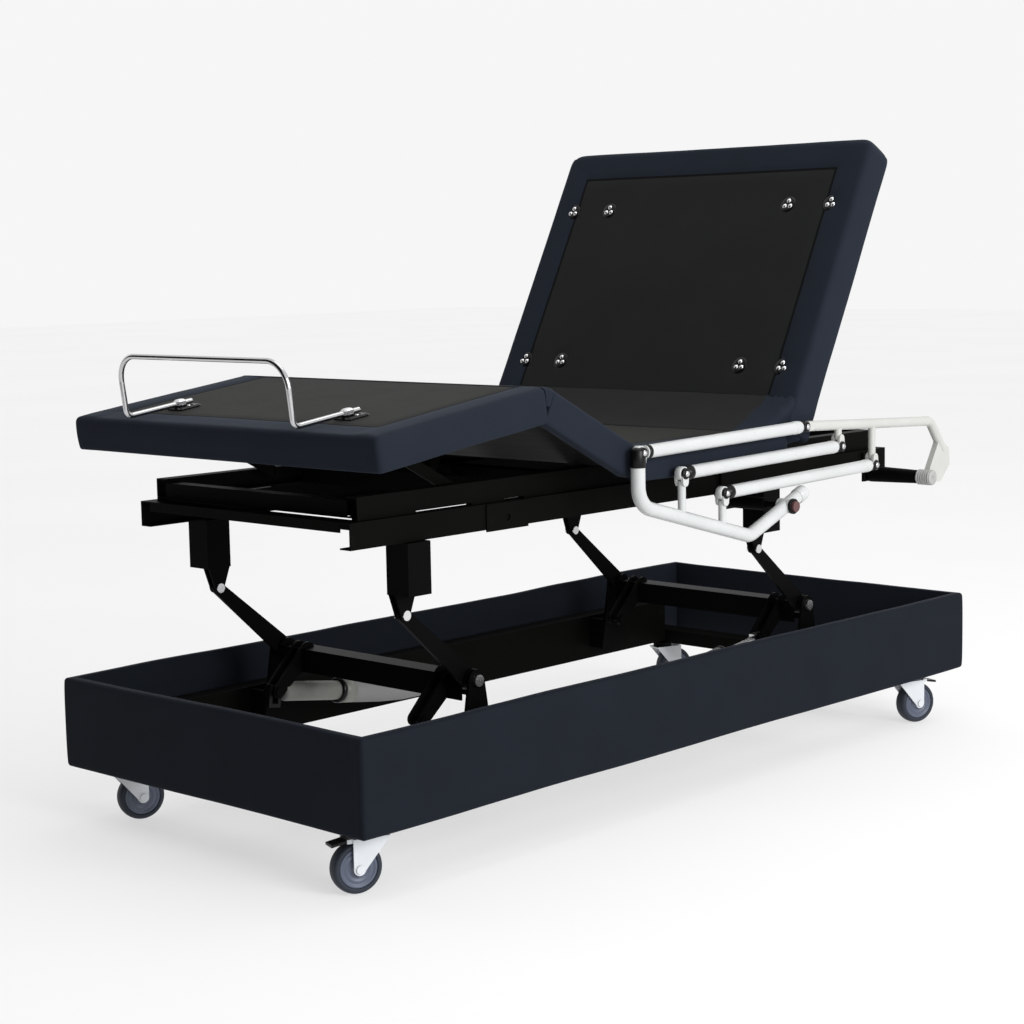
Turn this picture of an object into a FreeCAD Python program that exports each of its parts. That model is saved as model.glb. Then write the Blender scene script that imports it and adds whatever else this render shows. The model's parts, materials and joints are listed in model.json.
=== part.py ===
"""Adjustable bed base: hi-lo lift, four-part platform, side rail and mattress retainer.

Frame: +X towards the side that carries the rail, +Y towards the head, +Z up, floor at z = 0.
The bed stands fully raised, with its back and thigh sections up, as its rest position.
Platform sections are drawn flat and then turned about their hinges into the rest position.
"""

import FreeCAD, Part
import math
import os

V = FreeCAD.Vector
X_AXIS = V(1, 0, 0)

# ---- upholstered base box ----
BASE_HALF_W = 460.0
BASE_HALF_L = 1020.0
PANEL_T = 20.0
PANEL_Z0 = 125.0
PANEL_Z1 = 315.0
PANEL_ROUND = 8.0
CHANNEL_X = 350.0
CHANNEL_DEPTH = 48.0
CHANNEL_Z0 = 130.0
CHANNEL_Z1 = 240.0
SHEET_T = 3.0
CROSS_RAIL_W = 60.0
CROSS_RAIL_H = 35.0

# ---- castors ----
WHEEL_R = 50.0
TYRE_INNER_R = 38.0
TYRE_HALF_W = 16.0
TRAIL = 35.0
LEG_IN = 19.0
LEG_OUT = 22.0
CROWN_Z0 = 103.5
CROWN_Z1 = 107.5
STEM_X = 385.0
STEM_FOOT_Y = -930.0
STEM_HEAD_Y = 868.0
AXLE_R = 5.0
RUNNING_FIT = 0.05
PEDAL_REACH = 88.0
PEDAL_AXIS_Y = 53.0
PEDAL_AXIS_Z = 104.5
CASTORS = {
    "foot_left": (STEM_X, STEM_FOOT_Y, 160.0),
    "foot_right": (-STEM_X, STEM_FOOT_Y, -20.0),
    "head_left": (STEM_X, STEM_HEAD_Y, -20.0),
    "head_right": (-STEM_X, STEM_HEAD_Y, -20.0),
}
BRAKED = ("foot_left", "head_left")

# ---- lift linkage: a parallelogram of two arm frames ----
KNEE_Z = 330.0
KNEE_FOOT_Y = -562.0
KNEE_HEAD_Y = 572.0
ARM_DY = -180.0
ARM_DZ = 155.0
LEVER_DY = -85.0
LEVER_DZ = -77.0
LIFT_TRAVEL = 70.0
ARM_IN = 280.0
ARM_OUT = 288.0
ARM_KNEE_R = 21.0
ARM_TOP_R = 13.0
HUB_R = 22.0
HUB_OUT = 296.0
PIVOT_R = 8.0
BRACKET_IN = 300.0
BRACKET_OUT = 306.0
TUBE_SIZE = 50.0
TUBE_WALL = 4.0
LEVER_X = 222.0
LEVER_HALF_GAP = 11.0
LEVER_PLATE_T = 6.0
LEVER_PIN_R = 6.0
BRACKET_Z0 = 160.0
POST_IN = 274.0
POST_OUT = 335.0
POST_Z0 = 528.0
POST_BACK = 30.0
POST_FRONT = 31.0
LUG_T = 4.0
LUG_GAP = 2.0
LUG_R = 12.0
PIN_HEAD_R = 10.0

# ---- linear actuators ----
FOOT_ANCHOR = (-152.0, 178.0)
HEAD_ANCHOR = (47.0, 190.0)
ROD_EYE_HALF_T = 8.0
EYE_WALL = 8.0
SLOT_PLAY = 0.6
SLEEVE_R = 21.0
HOUSING_R = 27.5
ANCHOR_HALF = 15.0
ANCHOR_END = 240.0
BACK_ACTUATOR_X = 60.0
LEG_ACTUATOR_X = -60.0
FRAME_ANCHOR_Y = 10.0
FRAME_ANCHOR_Z = 615.0
ROD_R = 9.0
TRAVEL_STEPS = 24

# ---- chassis (lower frame) and deck frame (upper frame) ----
CHASSIS_OUT = 320.0
CHASSIS_IN = 290.0
CHASSIS_Z0 = 632.0
CHASSIS_Z1 = 684.0
CHASSIS_FOOT_Y = -905.0
CHASSIS_HEAD_Y = 882.0
DECK_OUT = 306.0
DECK_IN = 276.0
DECK_Z0 = 688.0
DECK_Z1 = 729.0
DECK_FOOT_Y = -873.0
DECK_HEAD_Y = 850.0

# ---- padded platform sections, drawn flat ----
TOP_Z = 778.0
PAD_Z0 = 708.0
BOARD_Z0 = 733.0
BOARD_Z1 = 748.0
SKIRT_T = 45.0
PAD_ROUND = 12.0
BACK_PAD_Z0 = 694.0
BACK_CORNER_R = 28.0
BACK_HINGE_Y = 281.0
THIGH_HINGE_Y = -229.0
TOP_HINGE_Z = 774.0
KNEE_HINGE_Y = -519.4
KNEE_HINGE_Z = 729.0
BACK_END_Y = 1017.0
FOOT_END_Y = -973.8
BACK_REST = 62.4
THIGH_REST = 27.65
FOOT_FOLD_REST = 35.35
PAD_GAP = 4.5
LEAF_T = 2.0
BARREL_R = 4.0
HINGE_XS = (-200.0, 0.0, 200.0)
HINGE_HALF_W = 45.0
BACK_LEVER = (60.0, -167.0)
THIGH_LEVER = (-60.0, -150.0)
LINK_X = 267.0
LINK_FRAME = (-584.0, 717.0)
LINK_FOOT = (-760.0, 694.0)
LINK_R = 12.0
LINK_PIN_R = 6.0
LINK_PLAY = 1.6

# ---- mattress retainer ----
RETAINER_X = 255.0
RETAINER_R = 5.5
RETAINER_LIFT = 11.5
RETAINER_PAST_END = 13.0
RETAINER_H = 124.0
RETAINER_ARM = 165.0

# ---- folding side rail ----
RAIL_X = 485.0
FOOT_TUBE_R = 15.0
HEAD_TUBE_R = 11.5
RAIL_BAR_R = 14.0
RAIL_POST_R = 8.5
RAIL_PIVOT = (240.0, 614.0)
RAIL_SPAN = (565.0, 12.0)
RAIL_FIRST = (-262.0, 772.0)
RAIL_STEP = (136.5, -54.0)
RAIL_TRAVEL = 72.0
RAIL_AXLE_R = 8.0
AXLE_END = 503.0
KNOB_X0 = 504.0
KNOB_X1 = 514.0

# The rail stands out on one side only, so the model is moved to put its box's centre on x = 0.
CENTRE_SHIFT = -(KNOB_X1 - BASE_HALF_W) / 2

LIFT_ARM_R = math.hypot(ARM_DY, ARM_DZ)


# ---------------------------------------------------------------- helpers
def block(x0, x1, y0, y1, z0, z1):
    return Part.makeBox(x1 - x0, y1 - y0, z1 - z0, V(x0, y0, z0))


def soft_block(x0, x1, y0, y1, z0, z1, r):
    body = block(x0, x1, y0, y1, z0, z1)
    return body.makeFillet(r, body.Edges)


def bar_x(x0, x1, y, z, r):
    return Part.makeCylinder(r, x1 - x0, V(x0, y, z), X_AXIS)


def bar_y(x, y0, y1, z, r):
    return Part.makeCylinder(r, y1 - y0, V(x, y0, z), V(0, 1, 0))


def bar_z(x, y, z0, z1, r):
    return Part.makeCylinder(r, z1 - z0, V(x, y, z0))


def plate_yz(points, x0, x1):
    """A flat plate across X with the given outline in Y and Z."""
    corners = [V(x0, y, z) for y, z in points]
    face = Part.Face(Part.makePolygon(corners + corners[:1]))
    return face.extrude(V(x1 - x0, 0, 0))


def profile_xz(points, y0, y1):
    """A section in X and Z drawn out along Y."""
    corners = [V(x, y0, z) for x, z in points]
    face = Part.Face(Part.makePolygon(corners + corners[:1]))
    return face.extrude(V(0, y1 - y0, 0))


def fused(*shapes):
    return shapes[0].fuse(list(shapes[1:])).removeSplitter()


def link_plate(x0, x1, p, q, rp, rq):
    """A straight link with a round end at each of two points."""
    dy = q[0] - p[0]
    dz = q[1] - p[1]
    length = math.hypot(dy, dz)
    ny = -dz / length
    nz = dy / length
    outline = [
        (p[0] + ny * rp, p[1] + nz * rp),
        (q[0] + ny * rq, q[1] + nz * rq),
        (q[0] - ny * rq, q[1] - nz * rq),
        (p[0] - ny * rp, p[1] - nz * rp),
    ]
    return fused(plate_yz(outline, x0, x1), bar_x(x0, x1, *p, rp), bar_x(x0, x1, *q, rq))


def turned(shape, degrees, y, z):
    """A copy turned about the line along X through (y, z)."""
    result = shape.copy()
    result.rotate(V(0, y, z), X_AXIS, degrees)
    return result


def point_turned(point, degrees, centre):
    angle = math.radians(degrees)
    dy = point[0] - centre[0]
    dz = point[1] - centre[1]
    return (
        centre[0] + dy * math.cos(angle) - dz * math.sin(angle),
        centre[1] + dy * math.sin(angle) + dz * math.cos(angle),
    )


def opposite(shape):
    return shape.mirror(V(0, 0, 0), X_AXIS)


def both_sides(*shapes):
    return list(shapes) + [opposite(shape) for shape in shapes]


def rounded_tube(points, bends, r):
    """A round tube along straight runs joined by tangent arcs."""
    edges = []
    start = points[0]
    for before, corner, after, bend in zip(points, points[1:], points[2:], bends):
        into = (corner - before).normalize()
        out = (after - corner).normalize()
        turn = into.getAngle(out)
        setback = bend * math.tan(turn / 2)
        arc_start = corner - into * setback
        arc_end = corner + out * setback
        middle = corner + (out - into).normalize() * (bend / math.cos(turn / 2) - bend)
        edges.append(Part.makeLine(start, arc_start))
        edges.append(Part.Arc(arc_start, middle, arc_end).toShape())
        start = arc_end
    edges.append(Part.makeLine(start, points[-1]))
    ring = Part.Wire(Part.Circle(points[0], points[1] - points[0], r).toShape())
    return Part.Wire(edges).makePipeShell([ring], True, True)


def write(name, shapes):
    """One node: its separate solids in one STEP file, moved to the centred frame."""
    group = Part.makeCompound(shapes)
    group.translate(V(CENTRE_SHIFT, 0, 0))
    group.exportStep(os.path.join("parts", name + ".step"))


# ---------------------------------------------------------------- base box
def base_panels():
    low, high = PANEL_Z0, PANEL_Z1
    inner_w = BASE_HALF_W - PANEL_T
    inner_l = BASE_HALF_L - PANEL_T
    side = soft_block(inner_w, BASE_HALF_W, -BASE_HALF_L, BASE_HALF_L, low, high, PANEL_ROUND)
    end = soft_block(-inner_w, inner_w, inner_l, BASE_HALF_L, low, high, PANEL_ROUND)
    write("base_panel_left", [side])
    write("base_panel_right", [opposite(side)])
    write("base_panel_head", [end])
    write("base_panel_foot", [end.mirror(V(0, 0, 0), V(0, 1, 0))])


def base_steel():
    outer = CHANNEL_X + CHANNEL_DEPTH
    web = CHANNEL_X + SHEET_T
    section = [
        (CHANNEL_X, CHANNEL_Z0),
        (outer, CHANNEL_Z0),
        (outer, CHANNEL_Z0 + SHEET_T),
        (web, CHANNEL_Z0 + SHEET_T),
        (web, CHANNEL_Z1 - SHEET_T),
        (outer, CHANNEL_Z1 - SHEET_T),
        (outer, CHANNEL_Z1),
        (CHANNEL_X, CHANNEL_Z1),
    ]
    half = CROSS_RAIL_W / 2
    channel = profile_xz(section, STEM_FOOT_Y + half, STEM_HEAD_Y - half)
    width = BASE_HALF_W - PANEL_T
    rails = [
        block(-width, width, y - half, y + half, PANEL_Z0, PANEL_Z0 + CROSS_RAIL_H)
        for y in (STEM_FOOT_Y, STEM_HEAD_Y)
    ]
    write("base_frame", both_sides(channel) + rails)


def knee_bracket(y):
    """A standing plate with a round top, held off the channel by two webs."""
    outline = [(y - 50, BRACKET_Z0), (y + 50, BRACKET_Z0), (y + 22, KNEE_Z), (y - 22, KNEE_Z)]
    plate = plate_yz(outline, BRACKET_IN, BRACKET_OUT)
    eye = bar_x(BRACKET_IN, BRACKET_OUT, y, KNEE_Z, HUB_R)
    web_z1 = CHANNEL_Z1 - 4
    webs = [block(BRACKET_OUT, CHANNEL_X, y + at, y + at + 6, BRACKET_Z0, web_z1) for at in (-44, 38)]
    bore = bar_x(BRACKET_IN - 1, BRACKET_OUT + 1, y, KNEE_Z, PIVOT_R)
    return fused(plate, eye, *webs).cut(bore)


def anchor_arm(anchor):
    """A short bar from the channel to the fixed end of a lift actuator."""
    y, z = anchor
    half = ANCHOR_HALF
    return block(ANCHOR_END, CHANNEL_X, y - half, y + half, z - half, z + half)


def headed_pin(x0, x1, y, z, r, head_r, head_t):
    """A pin along X with a head past its outer end."""
    return fused(bar_x(x0, x1, y, z, r), bar_x(x1, x1 + head_t, y, z, head_r))


def base_brackets_and_pins():
    brackets = both_sides(knee_bracket(KNEE_FOOT_Y), knee_bracket(KNEE_HEAD_Y))
    brackets.append(opposite(anchor_arm(FOOT_ANCHOR)))
    brackets.append(anchor_arm(HEAD_ANCHOR))
    write("lift_pivot_brackets", brackets)
    pins = []
    for y in (KNEE_FOOT_Y, KNEE_HEAD_Y):
        pins += both_sides(headed_pin(ARM_IN - 12, BRACKET_OUT, y, KNEE_Z, PIVOT_R, 12, 8))
    pins.append(opposite(actuator_pin(FOOT_ANCHOR)))
    pins.append(actuator_pin(HEAD_ANCHOR))
    write("base_pivot_pins", pins)


def actuator_pin(anchor):
    inner = LEVER_X - ROD_EYE_HALF_T - 8
    shank = bar_x(inner, ANCHOR_END, *anchor, LEVER_PIN_R)
    return fused(shank, bar_x(inner - 4, inner, *anchor, 9))


# ---------------------------------------------------------------- castors
def castor_plate(x, y):
    """The fixed half: plate, swivel race and king pin."""
    plate = block(x - 46, x + 46, y - 46, y + 46, PANEL_Z0 - 4, PANEL_Z0)
    race = bar_z(x, y, CROWN_Z1 + 0.2, PANEL_Z0 - 4, 24)
    pin = bar_z(x, y, CROWN_Z0 - 0.2, CROWN_Z1 + 0.2, 6)
    rivet = bar_z(x, y, CROWN_Z0 - 2.5, CROWN_Z0 - 0.2, 10)
    return fused(plate, race, pin, rivet)


def castor_fork(braked):
    """Crown and two tapered legs, drawn with the wheel trailing towards +Y."""
    far = TRAIL + 12
    outline = [(-28, CROWN_Z1), (far, CROWN_Z1), (far, WHEEL_R), (TRAIL - 11, WHEEL_R - 4)]
    leg = fused(plate_yz(outline, LEG_IN, LEG_OUT), bar_x(LEG_IN, LEG_OUT, TRAIL, WHEEL_R, 12))
    crown = block(-LEG_IN, LEG_IN, -28, far, CROWN_Z0, CROWN_Z1)
    king_hole = bar_z(0, 0, CROWN_Z0 - 1, CROWN_Z1 + 1, 6 + RUNNING_FIT)
    axle_hole = bar_x(-30, 30, TRAIL, WHEEL_R, AXLE_R)
    solids = [crown, leg, opposite(leg)]
    if braked:
        ear = block(LEG_IN - 3, LEG_IN, far - 1, PEDAL_AXIS_Y + 5, CROWN_Z0 - 3, CROWN_Z1 + 1)
        solids += both_sides(ear)
    fork = fused(*solids).cut(king_hole).cut(axle_hole)
    axle = bar_x(-LEG_OUT, LEG_OUT, TRAIL, WHEEL_R, AXLE_R)
    heads = [bar_x(LEG_OUT, LEG_OUT + 4, TRAIL, WHEEL_R, 8)]
    return [fork, fused(axle, *both_sides(*heads))]


def castor_wheel():
    """A tyre on a hub with a raised boss."""
    tyre = bar_x(-TYRE_HALF_W, TYRE_HALF_W, TRAIL, WHEEL_R, WHEEL_R)
    rims = [edge for edge in tyre.Edges if edge.Length > 300 and len(edge.Vertexes) == 1]
    tyre = tyre.makeFillet(7, rims)
    tyre = tyre.cut(bar_x(-20, 20, TRAIL, WHEEL_R, TYRE_INNER_R))
    disc = bar_x(-14, 14, TRAIL, WHEEL_R, TYRE_INNER_R)
    boss = bar_x(-18, 18, TRAIL, WHEEL_R, 14)
    hub = fused(disc, boss).cut(bar_x(-20, 20, TRAIL, WHEEL_R, AXLE_R + RUNNING_FIT))
    return [tyre, hub]


def brake_pedal():
    half = LEG_IN - 3.5
    barrel = bar_x(-half, half, PEDAL_AXIS_Y, PEDAL_AXIS_Z, 4)
    tongue = [
        (PEDAL_AXIS_Y, PEDAL_AXIS_Z + 3),
        (PEDAL_REACH, PEDAL_AXIS_Z - 3),
        (PEDAL_REACH, PEDAL_AXIS_Z - 8),
        (PEDAL_AXIS_Y, PEDAL_AXIS_Z - 2),
    ]
    return fused(barrel, plate_yz(tongue, -half, half))


def placed_castor(shapes, x, y, yaw):
    result = []
    for shape in shapes:
        copy = shape.copy()
        copy.rotate(V(0, 0, 0), V(0, 0, 1), yaw)
        copy.translate(V(x, y, 0))
        result.append(copy)
    return result


def castors():
    write("castor_plates", [castor_plate(x, y) for x, y, yaw in CASTORS.values()])
    for corner, place in CASTORS.items():
        write("castor_fork_" + corner, placed_castor(castor_fork(corner in BRAKED), *place))
        write("castor_wheel_" + corner, placed_castor(castor_wheel(), *place))
        if corner in BRAKED:
            write("brake_pedal_" + corner, placed_castor([brake_pedal()], *place))


# ---------------------------------------------------------------- lift frames
def lift_frame(y):
    """One welded frame: cross tube, two arms and two double-plate levers."""
    knee = (y, KNEE_Z)
    top = (y + ARM_DY, KNEE_Z + ARM_DZ)
    low = (y + LEVER_DY, KNEE_Z + LEVER_DZ)
    z1 = KNEE_Z + 8
    z0 = z1 - TUBE_SIZE
    y0 = y + 5 - TUBE_SIZE / 2
    y1 = y0 + TUBE_SIZE
    wall = TUBE_WALL
    section = [
        (y0, z0),
        (y0, z1),
        (y1, z1),
        (y1, z0),
        (y1 - wall, z0),
        (y1 - wall, z1 - wall),
        (y0 + wall, z1 - wall),
        (y0 + wall, z0),
    ]
    tube = plate_yz(section, -ARM_IN, ARM_IN)
    arm = link_plate(ARM_IN, ARM_OUT, knee, top, ARM_KNEE_R, ARM_TOP_R)
    hub = bar_x(ARM_IN - 10, HUB_OUT, *knee, HUB_R)
    plates = []
    for x in (LEVER_X - LEVER_HALF_GAP - LEVER_PLATE_T, LEVER_X + LEVER_HALF_GAP):
        plates.append(link_plate(x, x + LEVER_PLATE_T, knee, low, 20, 14))
    frame = fused(tube, *both_sides(arm, hub, *plates))
    for bore in both_sides(
        bar_x(ARM_IN - 15, HUB_OUT + 1, *knee, PIVOT_R + RUNNING_FIT),
        bar_x(ARM_IN - 1, ARM_OUT + 1, *top, PIVOT_R + RUNNING_FIT),
        bar_x(LEVER_X - 30, LEVER_X + 30, *low, LEVER_PIN_R),
    ):
        frame = frame.cut(bore)
    return [frame] + both_sides(lever_pin(low))


def lever_pin(low):
    reach = LEVER_HALF_GAP + LEVER_PLATE_T
    heads = [bar_x(x, x + 4, *low, 10) for x in (LEVER_X - reach - 4, LEVER_X + reach)]
    return fused(bar_x(LEVER_X - reach, LEVER_X + reach, *low, LEVER_PIN_R), *heads)


def lift_post(y):
    """A hollow post with two lugs that taper down to the arm's upper pivot."""
    top = (y + ARM_DY, KNEE_Z + ARM_DZ)
    y0 = top[0] - POST_BACK
    y1 = top[0] + POST_FRONT
    wall = SHEET_T
    outer = block(POST_IN, POST_OUT, y0, y1, POST_Z0, CHASSIS_Z0)
    hollow = block(POST_IN + wall, POST_OUT - wall, y0 + wall, y1 - wall, POST_Z0 - 1, CHASSIS_Z0 + 1)
    outline = [
        (y0 + wall, CHASSIS_Z0 - 30),
        (y1 - wall, CHASSIS_Z0 - 30),
        (y1 - wall, POST_Z0),
        (top[0] + LUG_R, top[1]),
        (top[0] - LUG_R, top[1]),
        (y0 + wall, POST_Z0),
    ]
    lugs = []
    for x in (ARM_IN - LUG_GAP - LUG_T, ARM_OUT + LUG_GAP):
        lugs.append(fused(plate_yz(outline, x, x + LUG_T), bar_x(x, x + LUG_T, *top, LUG_R)))
    bore = bar_x(ARM_IN - 10, ARM_OUT + 10, *top, PIVOT_R)
    return fused(outer.cut(hollow), *lugs).cut(bore)


def upper_pin(y):
    top = (y + ARM_DY, KNEE_Z + ARM_DZ)
    x0 = ARM_IN - LUG_GAP - LUG_T
    x1 = ARM_OUT + LUG_GAP + LUG_T
    inner = bar_x(x0 - 4, x0, *top, PIN_HEAD_R)
    return fused(headed_pin(x0, x1, *top, PIVOT_R, PIN_HEAD_R, 4), inner)


def lift_linkage():
    for end, y in (("foot", KNEE_FOOT_Y), ("head", KNEE_HEAD_Y)):
        write("lift_frame_" + end, lift_frame(y))
    knees = (KNEE_FOOT_Y, KNEE_HEAD_Y)
    write("lift_posts", both_sides(*[lift_post(y) for y in knees]))
    write("lift_upper_pins", both_sides(*[upper_pin(y) for y in knees]))


# ---------------------------------------------------------------- actuators
class Drive:
    """An actuator between a fixed anchor and a pin that turns about a hinge."""

    def __init__(self, anchor, hinge, pin, travel):
        self.anchor = anchor
        self.hinge = hinge
        self.pin = pin
        self.travel = travel
        end = point_turned(pin, travel, hinge)
        self.length, self.angle = self.reach(pin)
        end_length, end_angle = self.reach(end)
        turn = (end_angle - self.angle + 180) % 360 - 180
        self.pitch_ratio = turn / travel
        self.slide_ratio = (end_length - self.length) / travel

    def reach(self, point):
        dy = point[0] - self.anchor[0]
        dz = point[1] - self.anchor[1]
        return math.hypot(dy, dz), math.degrees(math.atan2(dz, dy))

    def window(self, pin_r):
        """The slot that clears the pin over the whole travel, along and across the rod."""
        along = []
        across = []
        for step in range(TRAVEL_STEPS + 1):
            moved = self.travel * step / TRAVEL_STEPS
            length, angle = self.reach(point_turned(self.pin, moved, self.hinge))
            off = math.radians(angle - self.angle - self.pitch_ratio * moved)
            along.append(length * math.cos(off) - self.slide_ratio * moved)
            across.append(length * math.sin(off))
        room = pin_r + SLOT_PLAY
        return min(along) - room, max(along) + room, min(across) - room, max(across) + room

    def placed(self, shape):
        """Moves a shape drawn along +Y from the origin onto the actuator's own line."""
        result = turned(shape, self.angle, 0, 0)
        result.translate(V(0, *self.anchor))
        return result

    def eye(self, x, pin_r, back_to):
        """The slotted end plate of the rod."""
        u0, u1, v0, v1 = self.window(pin_r)
        half = ROD_EYE_HALF_T
        plate = block(x - half, x + half, u0 - EYE_WALL, u1 + EYE_WALL, v0 - EYE_WALL, v1 + EYE_WALL)
        neck = block(x - half, x + half, back_to, u0 - EYE_WALL + 1, -half, half)
        slot = block(x - half - 1, x + half + 1, u0, u1, v0, v1)
        return fused(plate, neck).cut(slot)


def rear_lug(x, y_end, r):
    """The fixed eye of an actuator, drawn at the origin."""
    half = ROD_EYE_HALF_T
    lug = fused(bar_x(x - half, x + half, 0, 0, r), block(x - half, x + half, 0, y_end, -r + 2, r - 2))
    return lug


def cone_y(x, y0, y1, r0, r1):
    return Part.makeCone(r0, r1, y1 - y0, V(x, y0, 0), V(0, 1, 0))


FOOT_DRIVE = Drive(
    FOOT_ANCHOR,
    (KNEE_FOOT_Y, KNEE_Z),
    (KNEE_FOOT_Y + LEVER_DY, KNEE_Z + LEVER_DZ),
    LIFT_TRAVEL,
)
HEAD_DRIVE = Drive(
    HEAD_ANCHOR,
    (KNEE_HEAD_Y, KNEE_Z),
    (KNEE_HEAD_Y + LEVER_DY, KNEE_Z + LEVER_DZ),
    LIFT_TRAVEL,
)


def hinge_pin_flat(hinge_y, lever):
    return hinge_y + lever[0], TOP_HINGE_Z + lever[1]


BACK_DRIVE = Drive(
    (FRAME_ANCHOR_Y, FRAME_ANCHOR_Z),
    (BACK_HINGE_Y, TOP_HINGE_Z),
    point_turned(hinge_pin_flat(BACK_HINGE_Y, BACK_LEVER), BACK_REST, (BACK_HINGE_Y, TOP_HINGE_Z)),
    -BACK_REST,
)
LEG_DRIVE = Drive(
    (-FRAME_ANCHOR_Y, FRAME_ANCHOR_Z),
    (THIGH_HINGE_Y, TOP_HINGE_Z),
    point_turned(hinge_pin_flat(THIGH_HINGE_Y, THIGH_LEVER), -THIGH_REST, (THIGH_HINGE_Y, TOP_HINGE_Z)),
    THIGH_REST,
)


def foot_actuator():
    """A tapered motor housing with a wide telescopic sleeve."""
    x = -LEVER_X
    lug = rear_lug(x, 46, 14)
    tail = cone_y(x, 45, 120, 14, 24)
    shoulder = cone_y(x, 120, 190, 24, HOUSING_R)
    barrel = bar_y(x, 190, 287, 0, HOUSING_R)
    bore = bar_y(x, 118, 288, 0, SLEEVE_R + RUNNING_FIT)
    pin_bore = bar_x(x - 20, x + 20, 0, 0, LEVER_PIN_R + RUNNING_FIT)
    body = fused(lug, tail, shoulder, barrel).cut(bore).cut(pin_bore)
    sleeve = bar_y(x, 258, 452, 0, SLEEVE_R)
    rod = fused(sleeve, FOOT_DRIVE.eye(x, LEVER_PIN_R, 440))
    write("lift_actuator_body_foot", [FOOT_DRIVE.placed(body)])
    write("lift_actuator_rod_foot", [FOOT_DRIVE.placed(rod)])


def head_actuator():
    """A motor housing, a slim outer tube and a bright rod."""
    x = LEVER_X
    lug = rear_lug(x, 46, 14)
    motor = fused(cone_y(x, 45, 60, 14, HOUSING_R), bar_y(x, 60, 130, 0, HOUSING_R))
    tube = bar_y(x, 130, 300, 0, SLEEVE_R)
    bore = bar_y(x, 140, 301, 0, ROD_R + RUNNING_FIT)
    pin_bore = bar_x(x - 20, x + 20, 0, 0, LEVER_PIN_R + RUNNING_FIT)
    body = fused(lug, motor, tube).cut(bore).cut(pin_bore)
    rod = fused(bar_y(x, 145, 425, 0, ROD_R), HEAD_DRIVE.eye(x, LEVER_PIN_R, 420))
    write("lift_actuator_body_head", [HEAD_DRIVE.placed(body)])
    write("lift_actuator_rod_head", [HEAD_DRIVE.placed(rod)])


def frame_actuator(name, drive, x, barrel_end):
    """A section's actuator, hung under the chassis: motor, outer tube and rod."""
    lug = rear_lug(x, 36, 14)
    motor = bar_y(x, 35, 95, 0, 25)
    tube = bar_y(x, 95, barrel_end, 0, 17)
    rod_start = 45 + max(0, drive.slide_ratio * drive.travel * -1)
    bore = bar_y(x, 42, barrel_end + 1, 0, ROD_R + RUNNING_FIT)
    pin_bore = bar_x(x - 20, x + 20, 0, 0, LEVER_PIN_R + RUNNING_FIT)
    body = fused(lug, motor, tube).cut(bore).cut(pin_bore)
    rod_end = drive.window(LEVER_PIN_R)[0] - EYE_WALL
    rod = fused(bar_y(x, rod_start, rod_end, 0, ROD_R), drive.eye(x, LEVER_PIN_R, rod_end - 4))
    write(name + "_actuator_body", [drive.placed(body)])
    write(name + "_actuator_rod", [drive.placed(rod)])


# ---------------------------------------------------------------- frames
def channel_section(outer, inner, z0, z1):
    """A channel that opens towards the middle of the bed."""
    wall = SHEET_T
    return [
        (outer, z0),
        (outer, z1),
        (inner, z1),
        (inner, z1 - wall),
        (outer - wall, z1 - wall),
        (outer - wall, z0 + wall),
        (inner, z0 + wall),
        (inner, z0),
    ]


def cross_channel(half_x, y0, y1, z0, z1):
    """A cross member folded down along both edges."""
    wall = SHEET_T
    section = [
        (y0, z0),
        (y0, z1),
        (y1, z1),
        (y1, z0),
        (y1 - wall, z0),
        (y1 - wall, z1 - wall),
        (y0 + wall, z1 - wall),
        (y0 + wall, z0),
    ]
    return plate_yz(section, -half_x, half_x)


def frame_anchor_ears(x, y):
    """Two ears under the middle cross member and the pin between them."""
    ears = []
    for side in (-16, 10):
        outline = [(y - 14, 640), (y + 14, 640), (y + 12, FRAME_ANCHOR_Z), (y - 12, FRAME_ANCHOR_Z)]
        ear = plate_yz(outline, x + side, x + side + 6)
        ears.append(fused(ear, bar_x(x + side, x + side + 6, y, FRAME_ANCHOR_Z, 12)))
    bore = bar_x(x - 20, x + 20, y, FRAME_ANCHOR_Z, LEVER_PIN_R)
    pin = bar_x(x - 18, x + 18, y, FRAME_ANCHOR_Z, LEVER_PIN_R)
    return [ear.cut(bore) for ear in ears] + [pin]


def chassis():
    rail = profile_xz(
        channel_section(CHASSIS_OUT, CHASSIS_IN, CHASSIS_Z0, CHASSIS_Z1), CHASSIS_FOOT_Y, CHASSIS_HEAD_Y
    )
    splice = block(CHASSIS_OUT, CHASSIS_OUT + 3, -541, -420, CHASSIS_Z0 - 4, CHASSIS_Z1 - 1)
    splice = splice.cut(bar_x(CHASSIS_OUT - 1, CHASSIS_OUT + 4, -480, 652, 7))
    write("chassis_rail_left", [rail, splice])
    write("chassis_rail_right", [opposite(rail), opposite(splice)])
    members = [
        cross_channel(CHASSIS_IN, CHASSIS_FOOT_Y, CHASSIS_FOOT_Y + 40, CHASSIS_Z1 - 20, CHASSIS_Z1),
        cross_channel(CHASSIS_IN, CHASSIS_HEAD_Y - 40, CHASSIS_HEAD_Y, CHASSIS_Z0, CHASSIS_Z1),
        cross_channel(CHASSIS_IN, -26, 26, 640, CHASSIS_Z1),
    ]
    members += frame_anchor_ears(BACK_ACTUATOR_X, FRAME_ANCHOR_Y)
    members += frame_anchor_ears(LEG_ACTUATOR_X, -FRAME_ANCHOR_Y)
    write("chassis_cross_members", members)
    write("control_box", [soft_block(110, 230, 60, 200, 640, 680, 6)])


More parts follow.
